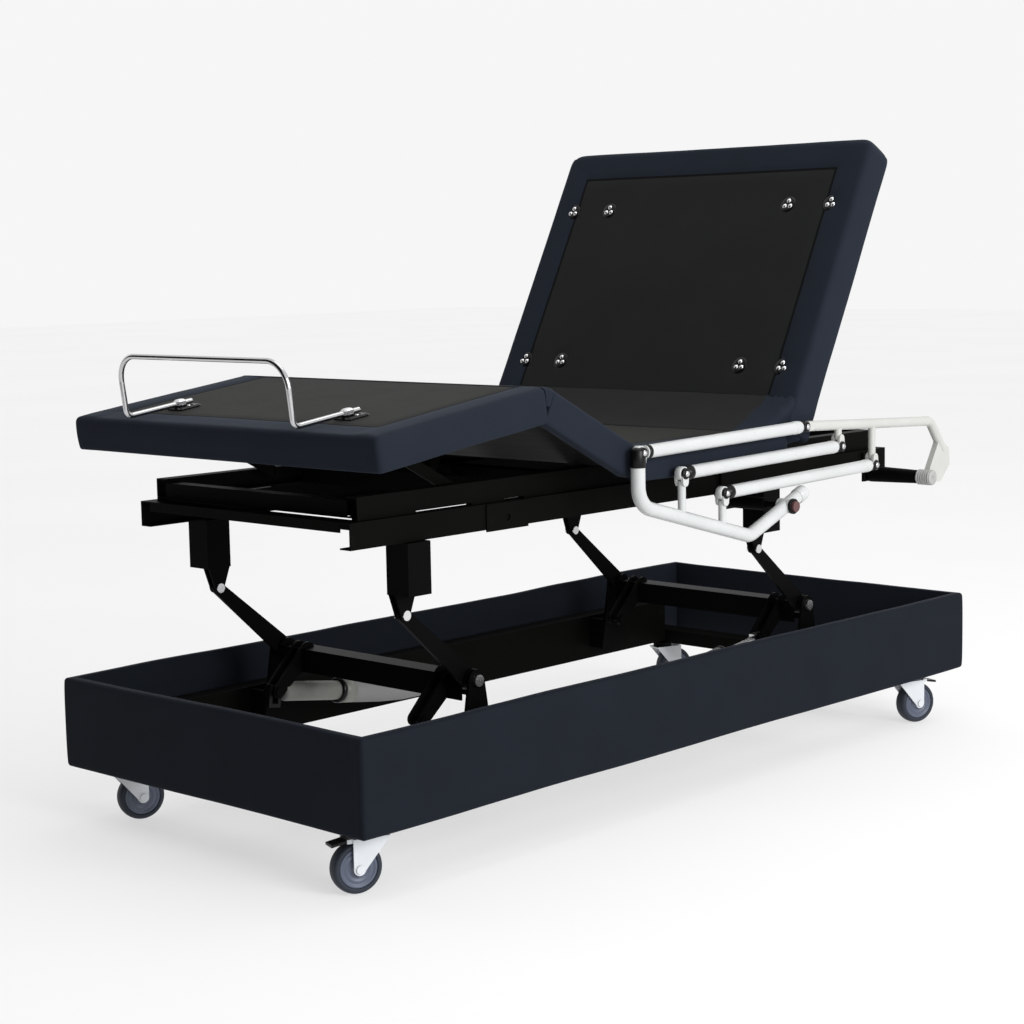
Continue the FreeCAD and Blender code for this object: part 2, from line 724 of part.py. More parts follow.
def deck_frame():
    rail = profile_xz(channel_section(DECK_OUT, DECK_IN, DECK_Z0, DECK_Z1), DECK_FOOT_Y, DECK_HEAD_Y)
    write("deck_rail_left", [rail])
    write("deck_rail_right", [opposite(rail)])
    members = [
        cross_channel(DECK_IN, DECK_FOOT_Y, DECK_FOOT_Y + 30, DECK_Z0, DECK_Z1 - 8),
        cross_channel(DECK_IN, -500, -470, DECK_Z0, DECK_Z1),
        cross_channel(DECK_IN, 140, 170, DECK_Z0, DECK_Z1),
        cross_channel(DECK_IN, 560, 590, DECK_Z0, DECK_Z1),
        cross_channel(DECK_IN, DECK_HEAD_Y - 30, DECK_HEAD_Y, DECK_Z0, DECK_Z1),
    ]
    for y0, y1 in ((DECK_FOOT_Y, -720), (-566, -472), (-414, DECK_HEAD_Y)):
        members += both_sides(block(CHASSIS_IN, DECK_OUT, y0, y1, CHASSIS_Z1, DECK_Z0))
    members += both_sides(block(DECK_IN, DECK_OUT, -200, 250, DECK_Z1, BOARD_Z0))
    members += both_sides(bar_x(LINK_X - 5, DECK_IN, *LINK_FRAME, LINK_PIN_R))
    write("deck_cross_members", members)


# ---------------------------------------------------------------- platform sections
def raise_back(shape):
    return turned(shape, BACK_REST, BACK_HINGE_Y, TOP_HINGE_Z)


def raise_thigh(shape):
    return turned(shape, -THIGH_REST, THIGH_HINGE_Y, TOP_HINGE_Z)


def fold_foot(shape):
    return raise_thigh(turned(shape, FOOT_FOLD_REST, KNEE_HINGE_Y, KNEE_HINGE_Z))


def pad_shell(outer, y0, y1, z0, closed_end):
    """Leaves a slab with skirts down its sides and, at one end, across it."""
    inner_x = BASE_HALF_W - SKIRT_T
    low = y0 + SKIRT_T if closed_end == "low" else y0 - 1
    high = y1 - SKIRT_T if closed_end == "high" else y1 + 1
    return outer.cut(block(-inner_x, inner_x, low, high, z0 - 1, BOARD_Z1))


def section_pad(y0, y1, closed_end=None):
    """Foam and cover of one platform section."""
    outer = soft_block(-BASE_HALF_W, BASE_HALF_W, y0, y1, PAD_Z0, TOP_Z, PAD_ROUND)
    return pad_shell(outer, y0, y1, PAD_Z0, closed_end)


def back_pad(y0, y1):
    """Foam and cover of the back section: deeper skirts and two well rounded top corners."""
    outer = block(-BASE_HALF_W, BASE_HALF_W, y0, y1, BACK_PAD_Z0, TOP_Z)
    corners = []
    for edge in outer.Edges:
        ends = edge.Vertexes
        if min(end.Y for end in ends) > y1 - 1 and abs(ends[0].X - ends[1].X) < 1:
            corners.append(edge)
    outer = outer.makeFillet(BACK_CORNER_R, corners)
    rims = [edge for edge in outer.Edges if abs(edge.BoundBox.ZLength) < 1]
    outer = outer.makeFillet(PAD_ROUND, rims)
    return pad_shell(outer, y0, y1, BACK_PAD_Z0, "high")


def knee_relief():
    """The wedge taken out of both skirts under the knee hinge, so that they can fold."""
    return block(-500, 500, KNEE_HINGE_Y - 8, KNEE_HINGE_Y + 8, PAD_Z0 - 1, KNEE_HINGE_Z)


def section_board(y0, y1):
    half = BASE_HALF_W - SKIRT_T - 0.5
    return block(-half, half, y0, y1, BOARD_Z0, BOARD_Z1)


def hinge_leaf(y, z, side, up, keeper):
    """One leaf of a butt hinge: a plate on the board's end and its share of the barrel.

    side is -1 or 1 for the side of the axis, up is -1 where the plate hangs below the barrel,
    and the keeper has the middle barrel and the pin, while the other leaf has the outer two.
    """
    third = HINGE_HALF_W / 3
    ends = sorted((y + side * 0.1, y + side * (0.1 + LEAF_T)))
    if up > 0:
        z0, z1 = z + BARREL_R + 0.5, BOARD_Z1 - 1
        tab = (z, z + BARREL_R + 1)
    else:
        z0, z1 = BOARD_Z0 + 1, z - BARREL_R - 0.5
        tab = (z - BARREL_R - 1, z)
    solids = []
    for x in HINGE_XS:
        leaf = [block(x - HINGE_HALF_W, x + HINGE_HALF_W, ends[0], ends[1], z0, z1)]
        spans = [(x - third, x + third)]
        if not keeper:
            edge = HINGE_HALF_W
            spans = [(x - edge, x - third - 0.3), (x + third + 0.3, x + edge)]
        for x0, x1 in spans:
            leaf.append(bar_x(x0, x1, y, z, BARREL_R))
            leaf.append(block(x0, x1, ends[0], ends[1], *tab))
        bore_r = 2.0 if keeper else 2.0 + RUNNING_FIT
        bore = bar_x(x - HINGE_HALF_W - 1, x + HINGE_HALF_W + 1, y, z, bore_r)
        solids.append(fused(*leaf).cut(bore))
        if keeper:
            solids.append(bar_x(x - HINGE_HALF_W, x + HINGE_HALF_W, y, z, 2.0))
    return solids


def section_lever(x, hinge_y, lever, base_dy):
    """A double-plate lever under a board, with the pin that an actuator pushes."""
    pin = hinge_pin_flat(hinge_y, lever)
    root = (pin[0] + base_dy, BOARD_Z0 - 12)
    plates = []
    for side in (-LEVER_HALF_GAP - 5, LEVER_HALF_GAP):
        arm = link_plate(x + side, x + side + 5, root, pin, 12, 12)
        foot = block(x + side, x + side + 5, root[0] - 24, root[0] + 24, BOARD_Z0 - 12, BOARD_Z0)
        plates.append(fused(arm, foot).cut(bar_x(x - 30, x + 30, *pin, LEVER_PIN_R)))
    reach = LEVER_HALF_GAP + 9
    return plates + [bar_x(x - reach, x + reach, *pin, LEVER_PIN_R)]


def seat_section():
    gap = PAD_GAP
    write("seat_pad", [section_pad(THIGH_HINGE_Y + gap, BACK_HINGE_Y - gap)])
    write("seat_board", [section_board(THIGH_HINGE_Y + 2.3, BACK_HINGE_Y - 2.3)])
    leaves = hinge_leaf(BACK_HINGE_Y, TOP_HINGE_Z, -1, -1, True)
    leaves += hinge_leaf(THIGH_HINGE_Y, TOP_HINGE_Z, 1, -1, True)
    write("seat_hinge_leaves", leaves)


def back_section():
    pad = back_pad(BACK_HINGE_Y + PAD_GAP, BACK_END_Y)
    board = section_board(BACK_HINGE_Y + 2.3, BACK_END_Y - SKIRT_T - 0.5)
    write("back_pad", [raise_back(pad)])
    write("back_board", [raise_back(board)])
    steel = hinge_leaf(BACK_HINGE_Y, TOP_HINGE_Z, 1, -1, False)
    steel += section_lever(BACK_ACTUATOR_X, BACK_HINGE_Y, BACK_LEVER, 20)
    write("back_hinges_and_lever", [raise_back(shape) for shape in steel])
    write("back_screws", [raise_back(shape) for shape in back_screws()])


def back_screws():
    """Eight groups of three dome heads that hold the panel to the board."""
    heads = []
    for along in (155, 568):
        for x in (-395, -275, 275, 395):
            for turn in (90, 210, 330):
                angle = math.radians(turn)
                centre_x = x + 9 * math.cos(angle)
                centre_y = BACK_HINGE_Y + along + 9 * math.sin(angle)
                heads.append(screw_head(centre_x, centre_y))
    return heads


def screw_head(x, y):
    radius = 7.0
    dome = Part.makeSphere(radius, V(x, y, TOP_Z + 3 - radius))
    return dome.common(block(x - 9, x + 9, y - 9, y + 9, TOP_Z, TOP_Z + 4))


def thigh_section():
    pad = section_pad(KNEE_HINGE_Y + 0.5, THIGH_HINGE_Y - PAD_GAP).cut(knee_relief())
    board = section_board(KNEE_HINGE_Y + 2.3, THIGH_HINGE_Y - 2.3)
    write("thigh_pad", [raise_thigh(pad)])
    write("thigh_board", [raise_thigh(board)])
    steel = hinge_leaf(THIGH_HINGE_Y, TOP_HINGE_Z, -1, -1, False)
    steel += hinge_leaf(KNEE_HINGE_Y, KNEE_HINGE_Z, 1, 1, True)
    steel += section_lever(LEG_ACTUATOR_X, THIGH_HINGE_Y, THIGH_LEVER, 0)
    write("thigh_hinges_and_lever", [raise_thigh(shape) for shape in steel])


def foot_section():
    pad = section_pad(FOOT_END_Y, KNEE_HINGE_Y - 0.5, "low").cut(knee_relief())
    board = section_board(FOOT_END_Y + SKIRT_T + 0.5, KNEE_HINGE_Y - 2.3)
    write("foot_pad", [fold_foot(pad)])
    write("foot_board", [fold_foot(board)])
    steel = hinge_leaf(KNEE_HINGE_Y, KNEE_HINGE_Z, -1, 1, False)
    steel += both_sides(*foot_link_bracket())
    write("foot_hinges_and_brackets", [fold_foot(shape) for shape in steel])


def foot_link_bracket():
    """An ear under the foot board and its pin, inside the support link."""
    y, z = LINK_FOOT
    x0 = LINK_X - 13
    ear = plate_yz([(y - 26, BOARD_Z0), (y + 26, BOARD_Z0), (y + 12, z), (y - 12, z)], x0, x0 + 6)
    ear = fused(ear, bar_x(x0, x0 + 6, y, z, 12)).cut(bar_x(x0 - 1, x0 + 7, y, z, LINK_PIN_R))
    return [ear, bar_x(x0, LINK_X + 5, y, z, LINK_PIN_R)]


def leg_links():
    """Two flat links that carry the foot section from the deck rails."""
    knee_rest = point_turned(
        (KNEE_HINGE_Y, KNEE_HINGE_Z), -THIGH_REST, (THIGH_HINGE_Y, TOP_HINGE_Z)
    )
    flat = (LINK_FOOT[0] - KNEE_HINGE_Y, LINK_FOOT[1] - KNEE_HINGE_Z)
    end = point_turned(flat, FOOT_FOLD_REST - THIGH_REST, (0, 0))
    end = (knee_rest[0] + end[0], knee_rest[1] + end[1])
    link = link_plate(LINK_X - 3, LINK_X + 3, LINK_FRAME, end, LINK_R, LINK_R)
    link = link.cut(bar_x(LINK_X - 9, LINK_X + 9, *LINK_FRAME, LINK_PIN_R + RUNNING_FIT))
    link = link.cut(bar_x(LINK_X - 9, LINK_X + 9, *end, LINK_PIN_R + LINK_PLAY))
    write("leg_links", both_sides(link))


# ---------------------------------------------------------------- mattress retainer
def retainer():
    z = TOP_Z + RETAINER_LIFT
    y = FOOT_END_Y - RETAINER_PAST_END
    x = RETAINER_X
    inner = y + RETAINER_ARM
    corners = [
        V(x, inner, z),
        V(x, y, z),
        V(x, y, z + RETAINER_H),
        V(-x, y, z + RETAINER_H),
        V(-x, y, z),
        V(-x, inner, z),
    ]
    bar = rounded_tube(corners, (14, 52, 52, 14), RETAINER_R)
    write("retainer_bar", [fold_foot(bar)])
    saddle = block(x - 24, x + 24, inner - 48, inner + 6, TOP_Z, z + 4)
    groove = bar_y(x, inner - 60, inner, z, RETAINER_R)
    slot = block(x - RETAINER_R, x + RETAINER_R, inner - 60, inner, TOP_Z - 1, z)
    clip = saddle.cut(groove).cut(slot)
    write("retainer_clips", [fold_foot(shape) for shape in both_sides(clip)])


# ---------------------------------------------------------------- side rail
def rail_point(index, head):
    """A bar's pivot on the foot arm, or on the head arm."""
    shift = RAIL_SPAN if head else (0, 0)
    return (
        RAIL_FIRST[0] + index * RAIL_STEP[0] + shift[0],
        RAIL_FIRST[1] + index * RAIL_STEP[1] + shift[1],
    )


def head_pivot():
    return RAIL_PIVOT[0] + RAIL_SPAN[0], RAIL_PIVOT[1] + RAIL_SPAN[1]


def rail_mounts():
    """Welded pads, outboard tubes and the axles that the two arms turn on."""
    solids = []
    for (y, z), tube_end in ((RAIL_PIVOT, 430.0), (head_pivot(), 461.0)):
        pad = block(CHASSIS_OUT, CHASSIS_OUT + 6, y - 25, y + 25, z - 18, CHASSIS_Z1 - 6)
        tube = bar_x(CHASSIS_OUT + 6, tube_end, y, z, 14.5)
        axle = bar_x(tube_end, AXLE_END, y, z, RAIL_AXLE_R)
        solids.append(fused(pad, tube, axle))
    y, z = RAIL_PIVOT
    solids[0] = solids[0].cut(bar_x(KNOB_X0 - 32, KNOB_X0, y, z, 4 + RUNNING_FIT))
    y, z = head_pivot()
    solids[1] = fused(solids[1], bar_x(AXLE_END, AXLE_END + 3, y, z, 12))
    write("rail_mounts", solids)


def tube_in_plane(points, bends, r):
    return rounded_tube([V(RAIL_X, y, z) for y, z in points], bends, r)


def arm_fork(pivot, foot):
    """Two cheeks round a bar's end and the post that carries them, with the pivot pin."""
    cheeks = []
    for x in (RAIL_X - 11.5, RAIL_X + 5.5):
        down = (pivot[0], pivot[1] + (18 if foot[1] > pivot[1] else -18))
        cheeks.append(link_plate(x, x + 6, pivot, down, 11, 9))
    sign = 1 if foot[1] > pivot[1] else -1
    near = min(pivot[1] + sign * 16, foot[1])
    far = max(pivot[1] + sign * 16, foot[1])
    post = bar_z(RAIL_X, pivot[0], near, far, RAIL_POST_R)
    pin = bar_x(RAIL_X - 14, RAIL_X + 14, *pivot, 4)
    hole = bar_x(RAIL_X - 20, RAIL_X + 20, *pivot, 4)
    return fused(*cheeks, post).cut(hole), pin


def rail_arm(path, bends, tube_r, hub, forks, extras):
    """A bent tube with a hub on its axle and a fork for each of the bars."""
    arm = tube_in_plane(path, bends, tube_r)
    boss = bar_x(RAIL_X - 17, RAIL_X + 17, *hub, 16)
    solids = [arm, boss] + extras
    pins = []
    for pivot, foot in forks:
        fork, pin = arm_fork(pivot, foot)
        solids.append(fork)
        pins.append(pin)
    body = fused(*solids).cut(bar_x(RAIL_X - 20, RAIL_X + 20, *hub, RAIL_AXLE_R + RUNNING_FIT))
    return [body] + pins


def foot_arm():
    top, middle, bottom = [rail_point(i, False) for i in range(3)]
    corner = (top[0] - 4, 664.0)
    knee = (105.0, 562.0)
    tip = (298.0, 637.0)
    path = [(top[0] - 4, top[1] - 22), corner, knee, tip]
    slope = (knee[1] - corner[1]) / (knee[0] - corner[0])
    forks = [(top, (top[0], top[1] - 30))]
    for pivot in (middle, bottom):
        forks.append((pivot, (pivot[0], corner[1] + slope * (pivot[0] - corner[0]))))
    write("rail_arm_foot", rail_arm(path, (52, 34), FOOT_TUBE_R, RAIL_PIVOT, forks, []))


def head_arm():
    top, middle, bottom = [rail_point(i, True) for i in range(3)]
    hub = head_pivot()
    corner = (822.0, 760.0)
    elbow = (878.0, 688.0)
    start = (top[0] + 16, top[1])
    path = [start, corner, elbow]
    slope = (corner[1] - start[1]) / (corner[0] - start[0])
    forks = []
    for pivot in (middle, bottom):
        forks.append((pivot, (pivot[0], start[1] + slope * (pivot[0] - start[0]))))
    outline = [(856, 716), (898, 690), (902, 650), (862, 612)]
    outline += [(hub[0] + 4, hub[1] - 14), (hub[0] + 4, hub[1] + 14)]
    paddle = plate_yz(outline, RAIL_X - 7, RAIL_X + 7)
    cheeks = []
    for x in (RAIL_X - 11.5, RAIL_X + 5.5):
        cheeks.append(link_plate(x, x + 6, top, (top[0] + 22, top[1]), 11, 9))
    pin = bar_x(RAIL_X - 14, RAIL_X + 14, *top, 4)
    hole = bar_x(RAIL_X - 20, RAIL_X + 20, *top, 4)
    body, *pins = rail_arm(path, (26,), HEAD_TUBE_R, hub, forks, cheeks + [paddle])
    write("rail_arm_head", [body.cut(hole), pin] + pins)


def rail_bars():
    """Level bars between the arms, each with a flat tongue at both ends."""
    for index, name in enumerate(("top", "middle", "bottom")):
        start = rail_point(index, False)
        end = rail_point(index, True)
        p = V(RAIL_X, *start)
        q = V(RAIL_X, *end)
        along = (q - p).normalize()
        tube = Part.makeCylinder(RAIL_BAR_R, (q - p).Length - 32, p + along * 16, along)
        solids = [tube]
        for pivot, away in ((start, 1), (end, -1)):
            inner = (pivot[0] + away * 18, pivot[1])
            tongue = link_plate(RAIL_X - 5, RAIL_X + 5, pivot, inner, 10, 10)
            solids.append(tongue.cut(bar_x(RAIL_X - 9, RAIL_X + 9, *pivot, 4 + RUNNING_FIT)))
        write("rail_bar_" + name, [fused(*solids)])


def release_knob():
    y, z = RAIL_PIVOT
    knob = bar_x(KNOB_X0, KNOB_X1, y, z, 12)
    stem = bar_x(KNOB_X0 - 28, KNOB_X0, y, z, 4)
    write("rail_release_knob", [fused(knob, stem)])


def main():
    os.makedirs("parts", exist_ok=True)
    base_panels()
    base_steel()
    base_brackets_and_pins()
    castors()
    lift_linkage()
    foot_actuator()
    head_actuator()
    frame_actuator("back", BACK_DRIVE, BACK_ACTUATOR_X, 230)
    frame_actuator("leg", LEG_DRIVE, LEG_ACTUATOR_X, 200)
    chassis()
    deck_frame()
    seat_section()
    back_section()
    thigh_section()
    foot_section()
    leg_links()
    retainer()
    rail_mounts()
    foot_arm()
    head_arm()
    rail_bars()
    release_knob()


main()
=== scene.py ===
"""Adjustable bed base: upholstery, materials, castors, rail trim, light and camera."""

import bpy
import json
import math
import numpy as np
from mathutils import Matrix, Vector, noise


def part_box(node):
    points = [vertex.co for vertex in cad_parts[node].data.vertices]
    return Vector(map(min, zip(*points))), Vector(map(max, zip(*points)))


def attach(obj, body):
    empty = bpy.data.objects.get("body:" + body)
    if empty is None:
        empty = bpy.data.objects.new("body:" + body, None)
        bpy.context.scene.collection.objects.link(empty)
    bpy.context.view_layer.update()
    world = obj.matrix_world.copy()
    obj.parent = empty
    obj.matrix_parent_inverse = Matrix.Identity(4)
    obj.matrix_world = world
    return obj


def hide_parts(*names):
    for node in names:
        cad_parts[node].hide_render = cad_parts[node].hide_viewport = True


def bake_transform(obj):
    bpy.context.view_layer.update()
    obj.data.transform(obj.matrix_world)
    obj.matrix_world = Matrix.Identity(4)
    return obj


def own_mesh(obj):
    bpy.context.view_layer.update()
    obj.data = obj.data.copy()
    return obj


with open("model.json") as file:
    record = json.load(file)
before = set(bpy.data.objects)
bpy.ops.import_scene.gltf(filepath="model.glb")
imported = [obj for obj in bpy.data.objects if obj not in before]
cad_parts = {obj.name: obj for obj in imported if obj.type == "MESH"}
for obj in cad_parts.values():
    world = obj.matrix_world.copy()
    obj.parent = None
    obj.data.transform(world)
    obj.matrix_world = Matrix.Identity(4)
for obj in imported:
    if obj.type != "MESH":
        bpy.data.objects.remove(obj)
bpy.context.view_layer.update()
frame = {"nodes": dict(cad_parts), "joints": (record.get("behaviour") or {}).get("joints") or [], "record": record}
JOINTS = {joint["name"]: joint for joint in frame["joints"]}
RATIOS = {c["joint"]: c["ratio"] for c in frame["record"]["behaviour"]["couplings"]}

# ---- driving sizes, in metres ----
CENTRE_X = (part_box("seat_pad")[0].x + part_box("seat_pad")[1].x) / 2
HALF_W = (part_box("seat_pad")[1].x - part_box("seat_pad")[0].x) / 2
TOP_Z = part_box("seat_pad")[1].z
SKIRT_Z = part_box("seat_pad")[0].z
BOARD_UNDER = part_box("seat_board")[0].z
BOARD_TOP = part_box("seat_board")[1].z
SKIRT_T = 0.045
BORDER = 0.078
X_AXIS = (1, 0, 0)
EDGE_R = 0.010
HEM_R = 0.006
PITCH = 0.013
THREAD = 0.0026
SEAM = 0.0014

BACK_REST = -JOINTS["back_tilt"]["range_deg"][0]
THIGH_REST = JOINTS["thigh_tilt"]["range_deg"][1]
FOLD_REST = -RATIOS["foot_fold"] * THIGH_REST
BACK_HINGE = Vector(JOINTS["back_tilt"]["pos_m"])
THIGH_HINGE = Vector(JOINTS["thigh_tilt"]["pos_m"])
KNEE_HINGE_REST = Vector(JOINTS["foot_fold"]["pos_m"])


def about_x(degrees, centre):
    turn = Matrix.Rotation(math.radians(degrees), 4, "X")
    return Matrix.Translation(centre) @ turn @ Matrix.Translation(-centre)


BACK_UP = about_x(BACK_REST, BACK_HINGE)
THIGH_UP = about_x(-THIGH_REST, THIGH_HINGE)
KNEE_FLAT = THIGH_UP.inverted() @ KNEE_HINGE_REST
FOOT_UP = THIGH_UP @ about_x(FOLD_REST, KNEE_FLAT)


def flat_range(node, unfold):
    """The lowest and highest y of a node once its section is laid flat."""
    ys = [(unfold @ v.co).y for v in frame["nodes"][node].data.vertices]
    return min(ys), max(ys)


# ---- node materials
class Nodes:
    """A short way to build one material's node tree."""

    def __init__(self, name):
        self.material = bpy.data.materials.new(name)
        self.material.use_nodes = True
        self.tree = self.material.node_tree
        self.shader = self.tree.nodes["Principled BSDF"]

    def add(self, kind, **settings):
        node = self.tree.nodes.new(kind)
        for key, value in settings.items():
            if hasattr(node, key):
                setattr(node, key, value)
            else:
                node.inputs[key.replace("_", " ")].default_value = value
        return node

    def link(self, source, target):
        self.tree.links.new(source, target)

    def math(self, operation, a, b=None):
        node = self.add("ShaderNodeMath", operation=operation)
        for socket, value in zip(node.inputs, (a, b)):
            if value is None:
                continue
            if hasattr(value, "links"):
                self.link(value, socket)
            else:
                socket.default_value = value
        return node.outputs[0]

    def noise(self, scale, detail=3.0, coordinates=None):
        node = self.add("ShaderNodeTexNoise", Scale=scale, Detail=detail)
        self.link(coordinates or self.position(), node.inputs["Vector"])
        return node.outputs["Fac"]

    def position(self):
        return self.add("ShaderNodeTexCoord").outputs["Object"]

    def ramp(self, factor, stops):
        node = self.add("ShaderNodeValToRGB")
        elements = node.color_ramp.elements
        while len(elements) < len(stops):
            elements.new(0.5)
        for element, (at, colour) in zip(elements, stops):
            element.position = at
            element.color = (*colour, 1.0)
        self.link(factor, node.inputs["Fac"])
        return node.outputs["Color"]

    def mix(self, factor, a, b):
        node = self.add("ShaderNodeMix", data_type="RGBA")
        for socket, value in ((node.inputs[0], factor), (node.inputs[6], a), (node.inputs[7], b)):
            if hasattr(value, "links"):
                self.link(value, socket)
            elif isinstance(value, (tuple, list)):
                socket.default_value = (*value, 1.0)
            else:
                socket.default_value = value
        return node.outputs[2]

    def bump(self, height, distance, strength=1.0, normal=None):
        node = self.add("ShaderNodeBump", Strength=strength, Distance=distance)
        self.link(height, node.inputs["Height"])
        if normal is not None:
            self.link(normal, node.inputs["Normal"])
        return node.outputs["Normal"]

    def colour(self, socket):
        self.link(socket, self.shader.inputs["Base Color"])

    def rough(self, socket):
        self.link(socket, self.shader.inputs["Roughness"])

    def normal(self, socket):
        self.link(socket, self.shader.inputs["Normal"])

    def fixed(self, **values):
        for key, value in values.items():
            self.shader.inputs[key.replace("_", " ")].default_value = value


def scaled(colour, factor):
    return tuple(channel * factor for channel in colour)


def fabric(name, colour, sheen, rough=0.82, thread=THREAD, tint=(0.6, 0.7, 0.9, 1.0)):
    """A plain woven cover: crossed threads in bump and colour, with soft blotches."""
    n = Nodes(name)
    split = n.add("ShaderNodeSeparateXYZ")
    n.link(n.add("ShaderNodeTexCoord").outputs["UV"], split.inputs[0])
    turns = 2 * math.pi / thread
    warp = n.math("SINE", n.math("MULTIPLY", split.outputs[0], turns))
    weft = n.math("SINE", n.math("MULTIPLY", split.outputs[1], turns))
    cross = n.math("MULTIPLY", warp, weft)
    weave = n.math("ADD", n.math("MULTIPLY", cross, 0.5), 0.5)
    blotch = n.noise(7.0, 5.0)
    slub = n.noise(420.0, 2.0)
    base = n.ramp(blotch, [(0.3, scaled(colour, 0.90)), (0.7, scaled(colour, 1.10))])
    dark = n.mix(n.math("MULTIPLY", weave, 0.3), base, scaled(colour, 0.45))
    n.colour(n.mix(n.math("MULTIPLY", slub, 0.2), dark, scaled(colour, 1.9)))
    n.rough(n.math("ADD", n.math("MULTIPLY", slub, 0.12), rough - 0.06))
    coarse = n.bump(n.noise(18.0, 3.0), 0.0012, 0.5)
    n.normal(n.bump(weave, 0.0004, 0.35, coarse))
    n.fixed(Sheen_Weight=sheen, Sheen_Roughness=0.4, Sheen_Tint=tint, Specular_IOR_Level=0.07)
    return n.material


def powder(name, colour, rough=0.42):
    """Powder coat: fine orange peel with a little dust and rubbing."""
    n = Nodes(name)
    grain = n.noise(900.0, 2.0)
    dust = n.noise(4.0, 2.0)
    rubbed = n.ramp(n.noise(35.0, 5.0), [(0.62, (0.0, 0.0, 0.0)), (0.8, (1.0, 1.0, 1.0))])
    base = n.ramp(dust, [(0.3, scaled(colour, 0.9)), (0.7, scaled(colour, 1.1))])
    n.colour(n.mix(n.math("MULTIPLY", rubbed, 0.3), base, scaled(colour, 3.0)))
    n.rough(n.math("ADD", n.math("MULTIPLY", grain, 0.08), rough))
    n.normal(n.bump(grain, 0.0002, 0.2))
    n.fixed(Specular_IOR_Level=0.02)
    return n.material


def enamel(name, colour, rough=0.28):
    """Glossy paint over welded tube, slightly uneven in tone."""
    n = Nodes(name)
    cloud = n.noise(14.0, 4.0)
    n.colour(n.ramp(cloud, [(0.3, scaled(colour, 0.93)), (0.7, colour)]))
    n.rough(n.math("ADD", n.math("MULTIPLY", n.noise(90.0, 3.0), 0.14), rough - 0.05))
    n.normal(n.bump(n.noise(160.0, 3.0), 0.0003, 0.3))
    n.fixed(Coat_Weight=0.25, Coat_Roughness=0.12)
    return n.material


def metal(name, colour, rough):
    """Plated steel with fine drawn scratches."""
    n = Nodes(name)
    mapping = n.add("ShaderNodeMapping")
    mapping.inputs["Scale"].default_value = (900.0, 40.0, 900.0)
    n.link(n.position(), mapping.inputs["Vector"])
    streak = n.noise(1.0, 3.0, mapping.outputs[0])
    n.colour(n.ramp(streak, [(0.3, scaled(colour, 0.85)), (0.7, colour)]))
    n.rough(n.math("ADD", n.math("MULTIPLY", streak, 0.1), rough))
    n.normal(n.bump(streak, 0.0001, 0.2))
    n.fixed(Metallic=1.0)
    return n.material


def plastic(name, colour, rough=0.45, grain=700.0, shine=0.4):
    """Moulded plastic with a fine spark texture."""
    n = Nodes(name)
    fine = n.noise(grain, 2.0)
    cloud = n.noise(20.0, 3.0)
    n.colour(n.ramp(cloud, [(0.3, scaled(colour, 0.88)), (0.7, scaled(colour, 1.1))]))
    n.rough(n.math("ADD", n.math("MULTIPLY", fine, 0.14), rough - 0.07))
    n.normal(n.bump(fine, 0.0003, 0.4))
    n.fixed(Specular_IOR_Level=shine)
    return n.material


def board(name, colour):
    """Edge-sealed laminated board with a drawn-out grain."""
    n = Nodes(name)
    mapping = n.add("ShaderNodeMapping")
    mapping.inputs["Scale"].default_value = (3.0, 60.0, 60.0)
    n.link(n.position(), mapping.inputs["Vector"])
    grain = n.noise(1.0, 5.0, mapping.outputs[0])
    n.colour(n.ramp(grain, [(0.35, scaled(colour, 0.7)), (0.7, scaled(colour, 1.25))]))
    n.rough(n.math("ADD", n.math("MULTIPLY", grain, 0.2), 0.5))
    n.normal(n.bump(grain, 0.0004, 0.4))
    n.fixed(Specular_IOR_Level=0.1)
    return n.material


NAVY = (0.0112, 0.0146, 0.0222)
COVER = fabric("cover_fabric", NAVY, 0.05)
PANEL = fabric("panel_fabric", (0.0112, 0.0120, 0.0118), 0.03, 0.72, 0.0034, (0.9, 0.85, 0.75, 1.0))
# near-black strip along the seams: painted shade of the stitched groove
SEAM_SHADE = fabric("seam_shade", (0.0030, 0.0032, 0.0036), 0.0)
BASE_COVER = fabric("base_fabric", (0.0072, 0.0092, 0.0135), 0.04)
FRAME_BLACK = powder("frame_black", (0.0026, 0.0026, 0.0021))
LIFT_BLACK = powder("lift_black", (0.0022, 0.0023, 0.0021), 0.36)
RAIL_WHITE = enamel("rail_white", (0.50, 0.51, 0.505))
RAIL_CREAM = enamel("rail_cream", (0.46, 0.46, 0.435), 0.34)
CHROME = metal("chrome", (0.60, 0.60, 0.61), 0.10)
ZINC = metal("zinc", (0.72, 0.72, 0.73), 0.22)
ROD = metal("ground_rod", (0.7, 0.7, 0.7), 0.14)
SHELL = plastic("actuator_shell", (0.165, 0.17, 0.15), 0.48)
SLEEVE = plastic("actuator_sleeve", (0.145, 0.15, 0.135), 0.5)
# black plastic, also used for the black discs painted as shade in the screw recesses
BLACK_PLASTIC_AND_SHADE = plastic("black_plastic_and_shade", (0.0022, 0.0022, 0.0022), 0.32, shine=0.2)
BOARD = board("dark_board", (0.004, 0.0038, 0.0035))
FORK = enamel("fork_grey", (0.60, 0.62, 0.64), 0.32)
TYRE = plastic("tyre_rubber", (0.022, 0.026, 0.036), 0.55, 500.0, shine=0.2)
HUB = plastic("wheel_hub", (0.075, 0.088, 0.125), 0.4)
KNOB = plastic("knob_brown", (0.085, 0.034, 0.034), 0.35)
DRUM = plastic("drum_grey", (0.34, 0.34, 0.33), 0.5)

